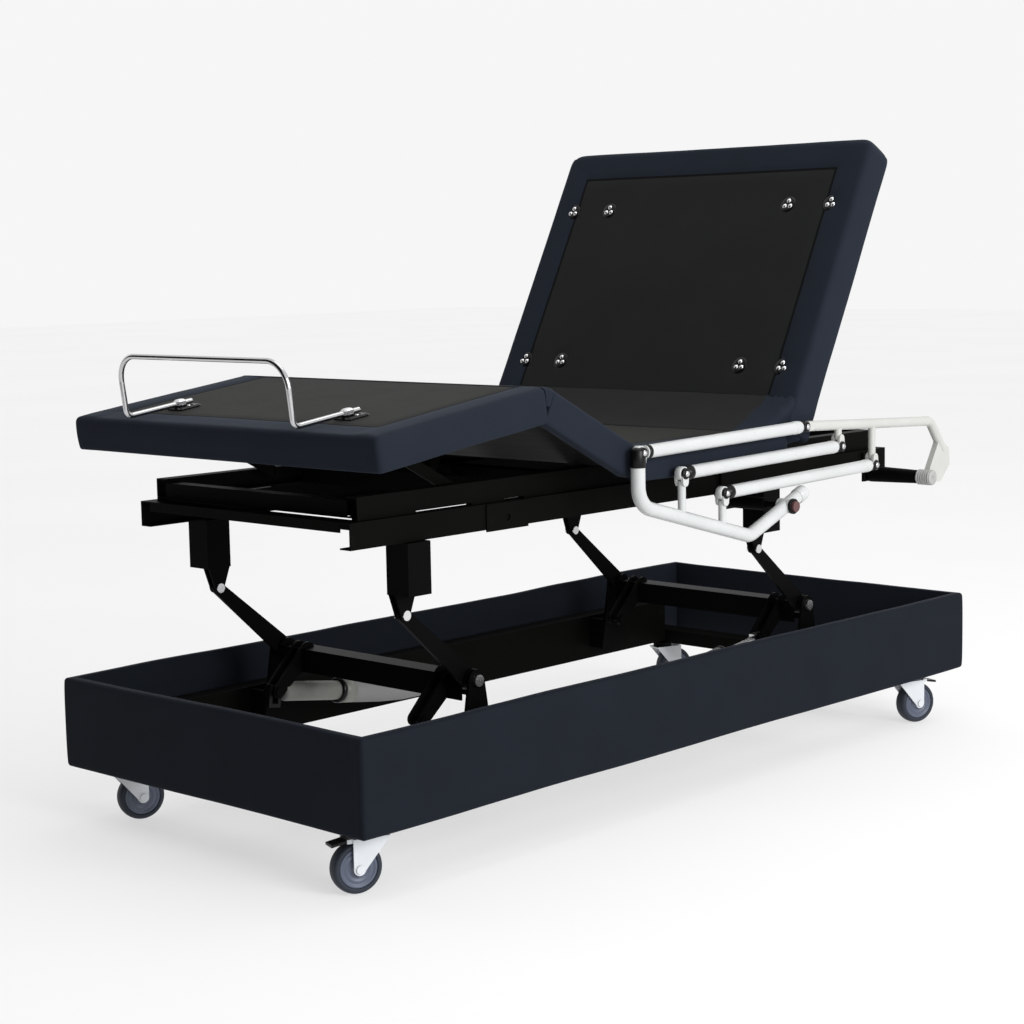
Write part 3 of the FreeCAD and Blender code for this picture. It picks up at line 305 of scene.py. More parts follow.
# the four actuator bodies keep the plain material that they come with
NODE_MATERIALS = {
    FRAME_BLACK: (
        "base_frame", "castor_plates", "chassis_rail_left", "chassis_rail_right",
        "chassis_cross_members", "deck_rail_left", "deck_rail_right", "deck_cross_members",
        "seat_hinge_leaves", "back_hinges_and_lever", "thigh_hinges_and_lever",
        "foot_hinges_and_brackets", "leg_links", "rail_mounts",
    ),
    LIFT_BLACK: ("lift_frame_foot", "lift_frame_head", "lift_posts", "lift_pivot_brackets"),
    ZINC: ("base_pivot_pins", "lift_upper_pins", "back_screws"),
    ROD: ("lift_actuator_rod_head", "back_actuator_rod", "leg_actuator_rod"),
    BLACK_PLASTIC_AND_SHADE: (
        "control_box", "brake_pedal_foot_left", "brake_pedal_head_left", "retainer_clips",
        "lift_actuator_rod_foot",
    ),
    BOARD: ("seat_board", "back_board", "thigh_board", "foot_board"),
    CHROME: ("retainer_bar",),
    RAIL_WHITE: ("rail_arm_foot", "rail_bar_top", "rail_bar_middle", "rail_bar_bottom"),
    RAIL_CREAM: ("rail_arm_head",),
    KNOB: ("rail_release_knob",),
    FORK: tuple("castor_fork_" + c for c in ("foot_left", "foot_right", "head_left", "head_right")),
}


def paint_nodes():
    for material, names in NODE_MATERIALS.items():
        for name in names:
            node = frame["nodes"][name]
            node.data.materials.clear()
            node.data.materials.append(material)


# ---- mesh helpers
def mesh_piece(name, verts, faces, materials, uvs=None, face_slots=None, smooth=True):
    mesh = bpy.data.meshes.new(name)
    mesh.from_pydata([tuple(v) for v in verts], [], faces)
    mesh.validate()
    for material in materials:
        mesh.materials.append(material)
    if uvs is not None:
        layer = mesh.uv_layers.new(name="UVMap")
        for loop in mesh.loops:
            layer.data[loop.index].uv = uvs[loop.vertex_index]
    if face_slots is not None and len(face_slots) == len(mesh.polygons):
        mesh.polygons.foreach_set("material_index", face_slots)
    mesh.polygons.foreach_set("use_smooth", [smooth] * len(mesh.polygons))
    mesh.update()
    piece = bpy.data.objects.new(name, mesh)
    bpy.context.scene.collection.objects.link(piece)
    return piece


def spread(a, b, pitch):
    return list(np.linspace(a, b, max(2, int(round((b - a) / pitch)) + 1)))


def lathe(name, profile, centre, axis, material, steps=48):
    """Turns (along, radius) points about an axis through a centre."""
    axis = Vector(axis).normalized()
    side = axis.orthogonal().normalized()
    other = axis.cross(side)
    verts = []
    for step in range(steps):
        angle = 2 * math.pi * step / steps
        out = side * math.cos(angle) + other * math.sin(angle)
        verts += [Vector(centre) + axis * a + out * r for a, r in profile]
    count = len(profile)
    faces = []
    for step in range(steps):
        after = (step + 1) % steps
        for i in range(count):
            j = (i + 1) % count
            faces.append((step * count + i, after * count + i, after * count + j, step * count + j))
    return mesh_piece(name, verts, faces, [material])


def subdivide(piece):
    modifier = piece.modifiers.new("Subdivision", "SUBSURF")
    modifier.levels = 1
    modifier.render_levels = 1


def grid_faces(rows, wide):
    """Quads of a grid whose points run along each row in turn."""
    corners = [row * wide + step for row in range(rows - 1) for step in range(wide - 1)]
    return [(a, a + 1, a + 1 + wide, a + wide) for a in corners]


def arc(centre, radius, start, end, count):
    """Points round part of a circle, with its angles in degrees."""
    angles = [math.radians(a) for a in np.linspace(start, end, count)]
    return [(centre[0] + radius * math.cos(a), centre[1] + radius * math.sin(a)) for a in angles]


def trim(piece, body):
    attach(piece, body)
    return piece


# ---- upholstered sections
def perimeter(xs, ys, steps=4):
    """Grid indices round the top's edge, each with the way its column leaves the edge."""
    last_x, last_y = len(xs) - 1, len(ys) - 1
    ring = []

    def fan(i, j, start):
        for step in range(steps + 1):
            angle = math.radians(start + 90 * step / steps)
            ring.append((i, j, math.cos(angle), math.sin(angle)))

    fan(0, 0, 180)
    ring.extend((i, 0, 0.0, -1.0) for i in range(1, last_x))
    fan(last_x, 0, 270)
    ring.extend((last_x, j, 1.0, 0.0) for j in range(1, last_y))
    fan(last_x, last_y, 0)
    ring.extend((i, last_y, 0.0, 1.0) for i in range(last_x - 1, 0, -1))
    fan(0, last_y, 90)
    ring.extend((0, j, -1.0, 0.0) for j in range(last_y - 1, 0, -1))
    return ring


def lines_with(a, b, stops, pitch):
    """Even grid lines from a to b that also pass through the stops."""
    marks = [a] + sorted(s for s in stops if a + 0.004 < s < b - 0.004) + [b]
    lines = []
    for low, high in zip(marks, marks[1:]):
        lines += spread(low, high, pitch)[:-1]
    return lines + [b]


class Section:
    """One padded section, drawn flat: a top, sides, a hem and the inside of its skirts."""

    def __init__(self, name, y0, y1, closed_low=False, closed_high=False, hem=SKIRT_Z, corner=0.0):
        self.name = name
        self.y0, self.y1 = y0, y1
        self.hem = hem
        self.corner = corner
        self.closed = (closed_low, closed_high)
        self.seam_x = HALF_W - BORDER
        self.seam_y = (y0 + BORDER if closed_low else y0 - 1, y1 - BORDER if closed_high else y1 + 1)

    def slot_at(self, x, y):
        """The border's cover, the panel's, or the strip of painted shade along the seam between them."""
        to_seam = min(self.seam_x - abs(x), y - self.seam_y[0], self.seam_y[1] - y)
        if abs(to_seam) < SEAM:
            return 2
        return 1 if to_seam > 0 else 0

    def hem_z(self, x, direction_y):
        """How far down the side goes: to the hem, or to the board's top at a hinge."""
        open_end = (direction_y < -0.5 and not self.closed[0]) or (direction_y > 0.5 and not self.closed[1])
        return BOARD_TOP if open_end and abs(x) < HALF_W - SKIRT_T else self.hem

    def end_radius(self, direction_y, radii):
        return radii[0] if direction_y < 0 else radii[1]

    def build(self, radii):
        """radii are the top edge's rounding at the low-y and high-y ends."""
        side_r = EDGE_R
        across = [side * self.seam_x + edge for side in (-1, 1) for edge in (-SEAM, SEAM)]
        along = [seam + edge for seam in self.seam_y for edge in (-SEAM, SEAM)]
        xs = lines_with(-HALF_W + side_r, HALF_W - side_r, across, PITCH)
        ys = lines_with(self.y0 + radii[0], self.y1 - radii[1], along, PITCH)
        self.verts, self.uvs, self.top = [], [], []
        for y in ys:
            for x in xs:
                self.verts.append([x, y, TOP_Z])
                self.uvs.append((x, y))
                self.top.append(True)
        columns = len(xs)
        faces = grid_faces(len(ys), columns)
        middles_x = [(a + b) / 2 for a, b in zip(xs, xs[1:])]
        middles_y = [(a + b) / 2 for a, b in zip(ys, ys[1:])]
        slots = [self.slot_at(x, y) for y in middles_y for x in middles_x]
        ring = perimeter(xs, ys)
        before = [j * columns + i for i, j, dx, dy in ring]
        for row in self.rows(ring, xs, ys, side_r, radii):
            start = len(self.verts)
            for place, uv in row:
                self.verts.append(place)
                self.uvs.append(uv)
                self.top.append(False)
            current = list(range(start, start + len(ring)))
            for k in range(len(ring)):
                after = (k + 1) % len(ring)
                quad = [before[k], current[k], current[after], before[after]]
                if quad[0] == quad[3]:
                    quad = quad[:3]
                faces.append(tuple(quad))
                slots.append(0)
            before = current
        self.faces, self.slots = faces, slots
        return self

    def rows(self, ring, xs, ys, side_r, radii):
        """Rings of points down the outside, round the hem and up the inside."""
        inner_x = HALF_W - SKIRT_T
        inner_low = self.y0 + (SKIRT_T if self.closed[0] else 0.004)
        inner_high = self.y1 - (SKIRT_T if self.closed[1] else 0.004)
        corner_steps = 4
        side_steps = 5
        plan = [("round", (k + 1) / corner_steps) for k in range(corner_steps)]
        plan += [("side", (k + 1) / side_steps) for k in range(side_steps)]
        plan += [("hem", (k + 1) / 3) for k in range(3)]
        plan += [("lip", 1.0), ("inside", 1.0)]
        for kind, t in plan:
            row = []
            for i, j, dx, dy in ring:
                x, y = xs[i], ys[j]
                r_y = self.end_radius(dy, radii)
                wide = Vector((dx * side_r, dy * r_y))
                hem = self.hem_z(x, dy)
                r = r_y if abs(dy) > abs(dx) else side_r
                drop = TOP_Z - r - hem - HEM_R
                arc = r * math.pi / 2
                if kind == "round":
                    out, z = math.sin(t * math.pi / 2), TOP_Z - r * (1 - math.cos(t * math.pi / 2))
                    travel = arc * t
                elif kind == "side":
                    out, z = 1.0, TOP_Z - r - drop * t
                    travel = arc + drop * t
                elif kind == "hem":
                    turn = t * math.pi / 2
                    out = 1.0 - (1 - math.cos(turn)) * HEM_R / max(r, 0.004)
                    z = hem + HEM_R * (1 - math.sin(turn))
                    travel = arc + drop + HEM_R * turn
                else:
                    px = max(-inner_x, min(inner_x, x + wide.x))
                    py = max(inner_low, min(inner_high, y + wide.y))
                    z = hem if kind == "lip" else BOARD_UNDER + 0.006
                    z = max(z, hem)
                    row.append(([px, py, z], (px, py)))
                    continue
                place = [x + wide.x * out, y + wide.y * out, z]
                row.append((place, (x + dx * travel, y + dy * travel)))
            yield row

    def shape(self, marks=(), folds=()):
        """Soft unevenness, stitched grooves, screw dimples and puckers, still drawn flat."""
        for index, vert in enumerate(self.verts):
            x, y, z = vert
            if z < BOARD_UNDER + 0.001 and abs(x) < HALF_W - SKIRT_T - 0.001:
                continue
            soft = noise.noise(Vector((x * 4.1, y * 4.1, z * 6.0 + len(self.name))))
            fine = noise.noise(Vector((x * 13.0, y * 13.0, z * 9.0 + 5.0)))
            if self.top[index]:
                lift = 0.0011 * soft + 0.0004 * fine + self.crown(x, y) - self.groove(x, y)
                for mx, my in marks:
                    away = math.hypot(x - mx, y - my)
                    lift -= 0.0035 * math.exp(-((away / 0.022) ** 2))
                vert[2] += lift
            else:
                outward = 0.0016 * soft + 0.0005 * fine
                down = (TOP_Z - z) / (TOP_Z - self.hem)
                outward += 0.0016 * math.sin(math.pi * max(0.0, min(1.0, down)))
                if abs(x) > HALF_W - 0.03:
                    vert[0] += math.copysign(outward, x)
                if (self.closed[0] and y < self.y0 + 0.02) or (self.closed[1] and y > self.y1 - 0.02):
                    vert[1] += math.copysign(outward, y - (self.y0 + self.y1) / 2)
                if z < self.hem + 0.02:
                    vert[2] += 0.002 * noise.noise(Vector((x * 3.0, y * 5.0, 2.0)))
            for fold in folds:
                fold(vert, self.top[index])
            self.round_corner(vert)
        return self

    def round_corner(self, vert):
        """Bends the two corners at the high-y end round to the section's corner radius."""
        dx = abs(vert[0]) - (HALF_W - self.corner)
        dy = vert[1] - (self.y1 - self.corner)
        if self.corner and dx > 0 and dy > 0:
            shrink = max(dx, dy) / math.hypot(dx, dy)
            vert[0] = math.copysign(HALF_W - self.corner + dx * shrink, vert[0])
            vert[1] = self.y1 - self.corner + dy * shrink

    def crown(self, x, y):
        """The border is fuller than the panel, most of all half way across it."""
        across = (abs(x) - self.seam_x) / BORDER
        if 0 < across < 1:
            return 0.0022 * math.sin(math.pi * across)
        return 0.0

    def groove(self, x, y):
        """The stitched line between the border and the panel."""
        to_side = abs(abs(x) - self.seam_x)
        inside_y = self.seam_y[0] - 0.004 < y < self.seam_y[1] + 0.004
        inside_x = abs(x) < self.seam_x + 0.004
        depth = 0.0
        if inside_y:
            depth = max(depth, 0.0020 * math.exp(-((to_side / 0.005) ** 2)))
        for seam in self.seam_y:
            if inside_x:
                depth = max(depth, 0.0020 * math.exp(-(((y - seam) / 0.005) ** 2)))
        for closed, end in zip(self.closed, (self.y0, self.y1)):
            to_end = abs(y - end)
            if closed and to_end < BORDER and abs(x) > self.seam_x:
                mitre = (HALF_W - abs(x) - to_end) / math.sqrt(2)
                depth = max(depth, 0.0016 * math.exp(-((mitre / 0.005) ** 2)))
        return depth

    def piece(self, transform, body, node):
        moved = [transform @ Vector((v[0] + CENTRE_X, v[1], v[2])) for v in self.verts]
        cover = mesh_piece(self.name, moved, self.faces, [COVER, PANEL, SEAM_SHADE], self.uvs, self.slots)
        subdivide(cover)
        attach(cover, body)
        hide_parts(node)
        return cover


def pucker(cx, cy, spacing, reach, depth, turn):
    """Short gathered folds that fade away from a corner."""
    along = Vector((math.cos(math.radians(turn)), math.sin(math.radians(turn))))

    def apply(vert, on_top):
        offset = Vector((vert[0] - cx, vert[1] - cy))
        away = offset.length
        if away > reach * 2.5:
            return
        phase = offset.dot(along.orthogonal()) / spacing
        fade = math.exp(-((away / reach) ** 2))
        ripple = depth * fade * math.sin(2 * math.pi * phase)
        if on_top:
            vert[2] += ripple
        else:
            vert[0] += math.copysign(ripple, vert[0])

    return apply


def screw_marks():
    """The centres of the screw groups, read from the CAD and laid flat."""
    flat = [BACK_UP.inverted() @ v.co for v in frame["nodes"]["back_screws"].data.vertices]
    groups = []
    for point in flat:
        for group in groups:
            if math.hypot(point.x - group[0].x, point.y - group[0].y) < 0.03:
                group.append(point)
                break
        else:
            groups.append([point])
    return [
        (sum(p.x for p in g) / len(g) - CENTRE_X, sum(p.y for p in g) / len(g)) for g in groups
    ]


def platform():
    identity = Matrix.Identity(4)
    seat = Section("seat_cover", *flat_range("seat_pad", identity)).build((0.010, 0.012))
    seat.shape(folds=[
        pucker(HALF_W, seat.y1, 0.026, 0.06, 0.004, 35),
        pucker(-HALF_W, seat.y1, 0.026, 0.06, 0.004, 145),
    ])
    seat.piece(identity, "chassis", "seat_pad")

    hem = min((BACK_UP.inverted() @ v.co).z for v in frame["nodes"]["back_pad"].data.vertices)
    back = Section(
        "back_cover", *flat_range("back_pad", BACK_UP.inverted()), closed_high=True, hem=hem, corner=0.030
    )
    back.build((0.012, 0.016))
    back.shape(screw_marks(), [
        pucker(HALF_W - 0.03, back.y0, 0.024, 0.07, 0.005, 100),
        pucker(-HALF_W + 0.03, back.y0, 0.024, 0.06, 0.004, 80),
    ])
    back.piece(BACK_UP, "back", "back_pad")

    thigh = Section("thigh_cover", *flat_range("thigh_pad", THIGH_UP.inverted()))
    thigh.build((0.003, 0.010))
    thigh.shape(folds=[pucker(HALF_W, thigh.y1, 0.03, 0.05, 0.003, 150)])
    thigh.piece(THIGH_UP, "thigh", "thigh_pad")

    foot = Section("foot_cover", *flat_range("foot_pad", FOOT_UP.inverted()), closed_low=True)
    foot.build((0.012, 0.003))
    foot.shape()
    foot.piece(FOOT_UP, "foot", "foot_pad")


# ---- cloth over the hinges
def hinge_cloth():
    knee_roll()
    lumbar_fill()
    crease("back_crease", BACK_HINGE, Matrix.Identity(4), BACK_UP, 1)
    crease("thigh_crease", THIGH_HINGE, Matrix.Identity(4), THIGH_UP, -1)


def crease(name, hinge, fixed, moving, way):
    """Cover tucked into the valley where two sections meet, and its webs at both sides."""
    gap, lead, droop, tuck = 0.0045, 0.012, 0.004, 0.011
    top = TOP_Z - 0.0015

    def lip(turned, out, part):
        """A point of the cover beside the hinge, lowest where it tucks in."""
        return turned @ Vector((0, hinge.y + out * (gap + lead * (1 - part)), top - droop * part ** 2))

    xs = lines_with(-HALF_W + 0.004, HALF_W - 0.004, (-HALF_W + BORDER, HALF_W - BORDER), PITCH)
    verts, uvs, faces, slots = [], [], [], []
    section = [lip(fixed, -way, k / 4) for k in range(5)]
    section.append(Vector((0, hinge.y, TOP_Z - tuck)))
    section += [lip(moving, way, 1 - k / 4) for k in range(5)]
    for x in xs:
        ripple = 0.0012 * noise.noise(Vector((x * 22.0, hinge.y, 0.3)))
        along = 0.0
        for k, point in enumerate(section):
            if k:
                along += (point - section[k - 1]).length
            verts.append((x + CENTRE_X, point.y, point.z + ripple))
            uvs.append((x, hinge.y + along))
    rows = len(section)
    for i in range(len(xs) - 1):
        inside = abs((xs[i] + xs[i + 1]) / 2) < HALF_W - BORDER
        for k in range(rows - 1):
            a = i * rows + k
            faces.append((a, a + rows, a + rows + 1, a + 1))
            slots.append(1 if inside else 0)
    strip = mesh_piece(name, verts, faces, [COVER, PANEL], uvs, slots)
    thicken(strip, 0.0022)
    finish_cloth(strip)
    for side in (-1, 1):
        web = side_web(name + ("_web_left" if side > 0 else "_web_right"), hinge, fixed, moving, way, side)
        finish_cloth(web)


def side_web(name, hinge, fixed, moving, way, side):
    """The pleated triangle of cover between two skirts."""
    gap = 0.0065
    heights = np.linspace(TOP_Z - 0.012, SKIRT_Z + 0.006, 9)
    steps = 10
    verts, uvs = [], []
    x = CENTRE_X + side * (HALF_W - 0.0035)
    for row, z in enumerate(heights):
        start = fixed @ Vector((0, hinge.y - way * gap, z))
        end = moving @ Vector((0, hinge.y + way * gap, z))
        for step in range(steps + 1):
            t = step / steps
            point = start.lerp(end, t)
            span = (end - start).length
            pleat = -0.35 * min(span, 0.03) * math.sin(math.pi * t) ** 2
            pleat += 0.0016 * math.sin(3 * math.pi * t) * min(1.0, span / 0.02)
            tuck = (hinge - point) * (0.25 * math.sin(math.pi * t) * row / len(heights))
            verts.append((x + side * pleat, point.y + tuck.y, point.z + tuck.z))
            uvs.append((t * span, z))
    web = mesh_piece(name, verts, grid_faces(len(heights), steps + 1), [COVER], uvs)
    thicken(web, 0.003)
    return web


def thicken(piece, thickness):
    modifier = piece.modifiers.new("Thickness", "SOLIDIFY")
    modifier.thickness = thickness
    modifier.offset = 0.0
    apply_modifiers(piece)


def apply_modifiers(piece):
    graph = bpy.context.evaluated_depsgraph_get()
    made = bpy.data.meshes.new_from_object(piece.evaluated_get(graph))
    piece.modifiers.clear()
    piece.data = made


def finish_cloth(piece):
    subdivide(piece)
    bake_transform(piece)


def lumbar_fill():
    """The cover's run from the seat up to the back panel, drawn with the back raised; on the bed it flattens as
    the back goes down.
    """
    up_back, over_seat = 0.086, 0.108
    crest = BACK_UP @ Vector((0, BACK_HINGE.y + up_back, TOP_Z - 0.001))
    start_y, root_y, root_z = BACK_HINGE.y - over_seat, BACK_HINGE.y + 0.002, TOP_Z - 0.004
    edge = HALF_W - 0.0015
    side_round = 0.013
    lines = [-edge, -edge + 0.002, -edge + 0.006]
    lines += lines_with(-edge + side_round, edge - side_round, (-HALF_W + BORDER, HALF_W - BORDER), PITCH)
    lines += [edge - 0.006, edge - 0.002, edge]
    stations = [k / 12 for k in range(12)] + [0.972, 1.0]
    steps = len(stations) - 1
    verts, uvs, faces, slots = [], [], [], []
    for x in lines:
        inset = min(1.0, (edge - abs(x)) / side_round)
        fall = side_round * (1 - math.sqrt(1 - (1 - inset) ** 2))
        for t in stations:
            y = start_y + (crest.y - start_y) * t
            rise = (crest.z - TOP_Z) * t ** 1.25
            gather = math.exp(-(((abs(x) - 0.41) / 0.05) ** 2) - ((t - 0.82) / 0.22) ** 2)
            ripple = 0.0055 * gather * math.sin(2 * math.pi * (0.6 * abs(x) + 0.5 * y) / 0.021)
            soft = 0.0016 * noise.noise(Vector((x * 9.0, y * 9.0, 3.1)))
            grown = min(1.0, rise / 0.02)
            top = max(root_z + 0.0002, TOP_Z + rise + grown * (ripple + soft - fall))
            verts.append((x + CENTRE_X, y, top))
            uvs.append((x, start_y + (crest.y - start_y) * t * 1.12))
        for t in stations:
            verts.append((x + CENTRE_X, start_y + (root_y - start_y) * t, root_z))
            uvs.append((x, start_y + t * 0.1))
    wide = 2 * (steps + 1)
    last = len(lines) - 1
    for i in range(last):
        slot_here = 1 if abs((lines[i] + lines[i + 1]) / 2) < HALF_W - BORDER else 0
        a, b = i * wide, (i + 1) * wide
        for k in range(steps):
            faces.append((a + k, b + k, b + k + 1, a + k + 1))
            faces.append((a + steps + 1 + k, a + steps + 2 + k, b + steps + 2 + k, b + steps + 1 + k))
            # the last strip, where the fill meets the back panel, takes the seam's painted shade
            slots += [2 if k == steps - 1 else slot_here, slot_here]
        faces.append((a, a + steps + 1, b + steps + 1, b))
        faces.append((a + steps, b + steps, b + 2 * steps + 1, a + 2 * steps + 1))
        slots += [slot_here, slot_here]
    for i, flip in ((0, False), (last, True)):
        a = i * wide
        for k in range(steps):
            quad = (a + k, a + k + 1, a + steps + 2 + k, a + steps + 1 + k)
            faces.append(quad[::-1] if flip else quad)
            slots.append(0)
    fill = mesh_piece("lumbar_cover", verts, faces, [COVER, PANEL, SEAM_SHADE], uvs, slots)
    trim(fill, "chassis")
    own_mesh(fill)


def knee_roll():
    """The cover's fold over the knee hinge, drawn full as it is with the sections raised; on the bed it shuts when
    they lie flat.
    """
    hinge = KNEE_HINGE_REST
    low = FOOT_UP
    high = THIGH_UP
    gap = 0.0005
    inner = KNEE_FLAT.z + 0.012
    edge = EDGE_R
    steps = 8
    swell = 0.85
    border = HALF_W - BORDER
    # one outline across the bed: up one side, over the top, down the other
    outline = [(-HALF_W + 0.001, inner)]
    outline += [(-HALF_W + 0.0005, z) for z in np.linspace(inner + 0.006, TOP_Z - edge, 5)]
    outline += [
        (-HALF_W + edge - edge * math.cos(a), TOP_Z - edge + edge * math.sin(a))
        for a in np.linspace(0.3, math.pi / 2, 5)
    ]
    outline += [(x, TOP_Z) for x in lines_with(-HALF_W + edge, 0.0, (-border,), 0.02)[1:]]
    outline += [(-x, z) for x, z in reversed(outline[:-1])]
    verts, uvs = [], []
    for step in range(steps + 1):
        t = step / steps
        along = 0.0
        for k, (x, z) in enumerate(outline):
            start = low @ Vector((x, KNEE_FLAT.y - gap, z))
            end = high @ Vector((x, KNEE_FLAT.y + gap, z))
            reach = start.lerp(end, t) - Vector((x, hinge.y, hinge.z))
            radius = (start - Vector((x, hinge.y, hinge.z))).length
            length = reach.length
            target = length + (radius - length) * swell
            if length > 1e-6:
                reach *= target / length
            pleat = 0.0
            if abs(x) > HALF_W - 0.006:
                pleat = -0.0012 * math.exp(-(((t - 0.5) / 0.16) ** 2))
            if k:
                along += math.dist(outline[k], outline[k - 1])
            verts.append((x + CENTRE_X + math.copysign(pleat, x), hinge.y + reach.y, hinge.z + reach.z))
            uvs.append((along, t * 0.03))
    middles = [(a[0] + b[0]) / 2 for a, b in zip(outline, outline[1:])]
    slots = [1 if abs(x) < border else 0 for x in middles] * steps
    faces = grid_faces(steps + 1, len(outline))
    roll = mesh_piece("knee_roll", verts, faces, [COVER, PANEL], uvs, slots)
    thicken(roll, 0.002)
    subdivide(roll)
    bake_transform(roll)


# ---- base box cover
def base_box():
    """One stitched cover round the four boards, with soft corners and edges."""
    low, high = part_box("base_panel_left")
    half_y = high.y
    half_x = high.x - CENTRE_X
    z0, z1 = low.z, high.z
    thick = high.x - low.x
    corner = 0.007

    corners = []
    for cx, cy, start in (
        (half_x - corner, -half_y + corner, -90), (half_x - corner, half_y - corner, 0),
        (-half_x + corner, half_y - corner, 90), (-half_x + corner, -half_y + corner, 180),
    ):
        corners.append([
            (Vector((cx + corner * math.cos(math.radians(start + a)),
                     cy + corner * math.sin(math.radians(start + a)))), start + a)
            for a in np.linspace(0, 90, 7)
        ])
    ring = []
    for k, points in enumerate(corners):
        ring += points
        start, angle = points[-1]
        end = corners[(k + 1) % 4][0][0]
        count = int((end - start).length / 0.025)
        ring += [(start.lerp(end, j / count), angle) for j in range(1, count)]
    r = 0.008
    profile = arc((-r, z1 - r), r, 90, 0, 5)
    profile += [(0.0, z) for z in np.linspace(z1 - r, z0 + r, 13)[1:-1]]
    profile += arc((-r, z0 + r), r, 0, -90, 5)
    profile += arc((r - thick, z0 + r), r, -90, -180, 5)
    profile += [(-thick, z) for z in np.linspace(z0 + r, z1 - r, 9)[1:-1]]
    profile += arc((r - thick, z1 - r), r, 180, 90, 5)
    verts, uvs, faces = [], [], []
    along = 0.0
    for k, (point, angle) in enumerate(ring):
        if k:
            along += (point - ring[k - 1][0]).length
        out = Vector((math.cos(math.radians(angle)), math.sin(math.radians(angle))))
        travel = 0.0
        for m, (depth, z) in enumerate(profile):
            if m:
                travel += math.dist(profile[m], profile[m - 1])
            x, y = point + out * depth
            if depth < -0.5 * thick:
                x = max(-half_x + thick, min(half_x - thick, x))
                y = max(-half_y + thick, min(half_y - thick, y))
            place = Vector((x, y, z))
            soft = noise.noise(Vector((x * 2.2, y * 2.2, 1.7)))
            wave = noise.noise(Vector((x * 7.0, y * 7.0, 6.0)))
            edge = abs(2 * (z - z0) / (z1 - z0) - 1) ** 4
            place.z += edge * (0.0032 * soft + 0.0012 * wave)
            full = 0.0018 * (1 - edge) * (1 if depth > -0.5 * thick else -1)
            place.x += out.x * (full + 0.0016 * wave)
            place.y += out.y * (full + 0.0016 * wave)
            verts.append((place.x + CENTRE_X, place.y, place.z))
            uvs.append((along, travel))
    wide = len(profile)
    for k in range(len(ring)):
        after = (k + 1) % len(ring)
        for m in range(wide):
            n = (m + 1) % wide
            faces.append((k * wide + m, k * wide + n, after * wide + n, after * wide + m))
    cover = mesh_piece("base_cover", verts, faces, [BASE_COVER], uvs)
    subdivide(cover)
    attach(cover, "base")
    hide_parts("base_panel_left", "base_panel_right", "base_panel_foot", "base_panel_head")


# ---- castors
def wheel(corner):
    """A tyre with shoulders and a hub with a raised ring on each face."""
    joint = JOINTS["roll_" + corner]
    centre, axis = joint["pos_m"], joint["axis"]
    tyre_profile = []
    outer, inner, half = 0.050, 0.038, 0.016
    for a in np.linspace(-90, 90, 13):
        c, s = math.cos(math.radians(a)), math.sin(math.radians(a))
        tyre_profile.append((half * math.copysign(abs(s) ** 0.8, s), outer - 0.009 * (1 - abs(c) ** 0.7)))
    tyre_profile += [(half * 0.98, inner + 0.001), (half * 0.8, inner)]
    tyre_profile += [(-a, r) for a, r in reversed(tyre_profile[-2:])]
    tyre = lathe("tyre_" + corner, tyre_profile, centre, axis, TYRE, 64)
    face = [
        (0.0135, 0.0382), (0.0150, 0.0365), (0.0152, 0.0340), (0.0142, 0.0325), (0.0128, 0.0310),
        (0.0126, 0.0285), (0.0142, 0.0262), (0.0146, 0.0235), (0.0130, 0.0218), (0.0124, 0.0180),
        (0.0140, 0.0150), (0.0172, 0.0130), (0.0176, 0.0060),
    ]
    hub_profile = [(-a, r) for a, r in face] + [(a, r) for a, r in reversed(face)]
    hub = lathe("hub_" + corner, hub_profile, centre, axis, HUB, 64)
    for piece in (tyre, hub):
        trim(piece, "wheel_" + corner)
    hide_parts("castor_wheel_" + corner)


def castors():
    for corner in ("foot_left", "foot_right", "head_left", "head_right"):
        wheel(corner)


# ---- rail, retainer and other trim
def turned_piece(name, profile, centre, axis, material, body, steps=40):
    """A lathed piece on the axis line, whose profile is closed next to the axis."""
    closed = [(profile[0][0], 0.0004)] + list(profile) + [(profile[-1][0], 0.0004)]
    return trim(lathe(name, closed, centre, axis, material, steps), body)


def rail_trim(name, profile, centre, axis, material, body):
    turned_piece("rail_" + name, profile, centre, axis, material, body)


def rail_ring(name, x0, x1, inner, outer, centre, material, body):
    """A collar about an axis along X, with eased edges."""
    ease = 0.0008
    profile = [
        (x0, inner), (x0, outer - ease), (x0 + ease, outer),
        (x1 - ease, outer), (x1, outer - ease), (x1, inner),
    ]
    trim(lathe("rail_" + name, profile, centre, X_AXIS, material, 40), body)


def knuckle(tag, place, into_bar, arm, bar, at_foot):
    """A pivoting bar end: black disc in a white collar, chrome bolt and the bar's boot."""
    disc = [(-0.0146, 0.0096), (-0.0132, 0.0116), (0.0132, 0.0116), (0.0146, 0.0096)]
    rail_trim("disc_" + tag, disc, place, X_AXIS, BLACK_PLASTIC_AND_SHADE, arm)
    bolt = [(0.0144, 0.0064), (0.0164, 0.0062), (0.0182, 0.0046), (0.0190, 0.0020)]
    rail_trim("bolt_" + tag, bolt, place, X_AXIS, CHROME, arm)
    if at_foot:
        rail_ring("collar_" + tag, -0.0078, 0.0078, 0.0112, 0.0148, place, RAIL_WHITE, arm)
        # the top bar's boot starts outside the socket on the arm
        start = 0.0172 if tag.startswith("top") else 0.0095
        boot = [(start, 0.0118), (start + 0.002, 0.0146), (0.027, 0.0152), (0.030, 0.0144)]
    else:
        boot = [(0.0005, 0.0090), (0.002, 0.0126), (0.0055, 0.0138), (0.009, 0.0130)]
        dome = [
            (0.0085, 0.0085), (0.0100, 0.0118), (0.014, 0.0139),
            (0.020, 0.0146), (0.034, 0.0147), (0.036, 0.0140),
        ]
        rail_trim("end_" + tag, dome, place, into_bar, RAIL_WHITE, bar)
    rail_trim("boot_" + tag, boot, place, into_bar, BLACK_PLASTIC_AND_SHADE, bar)


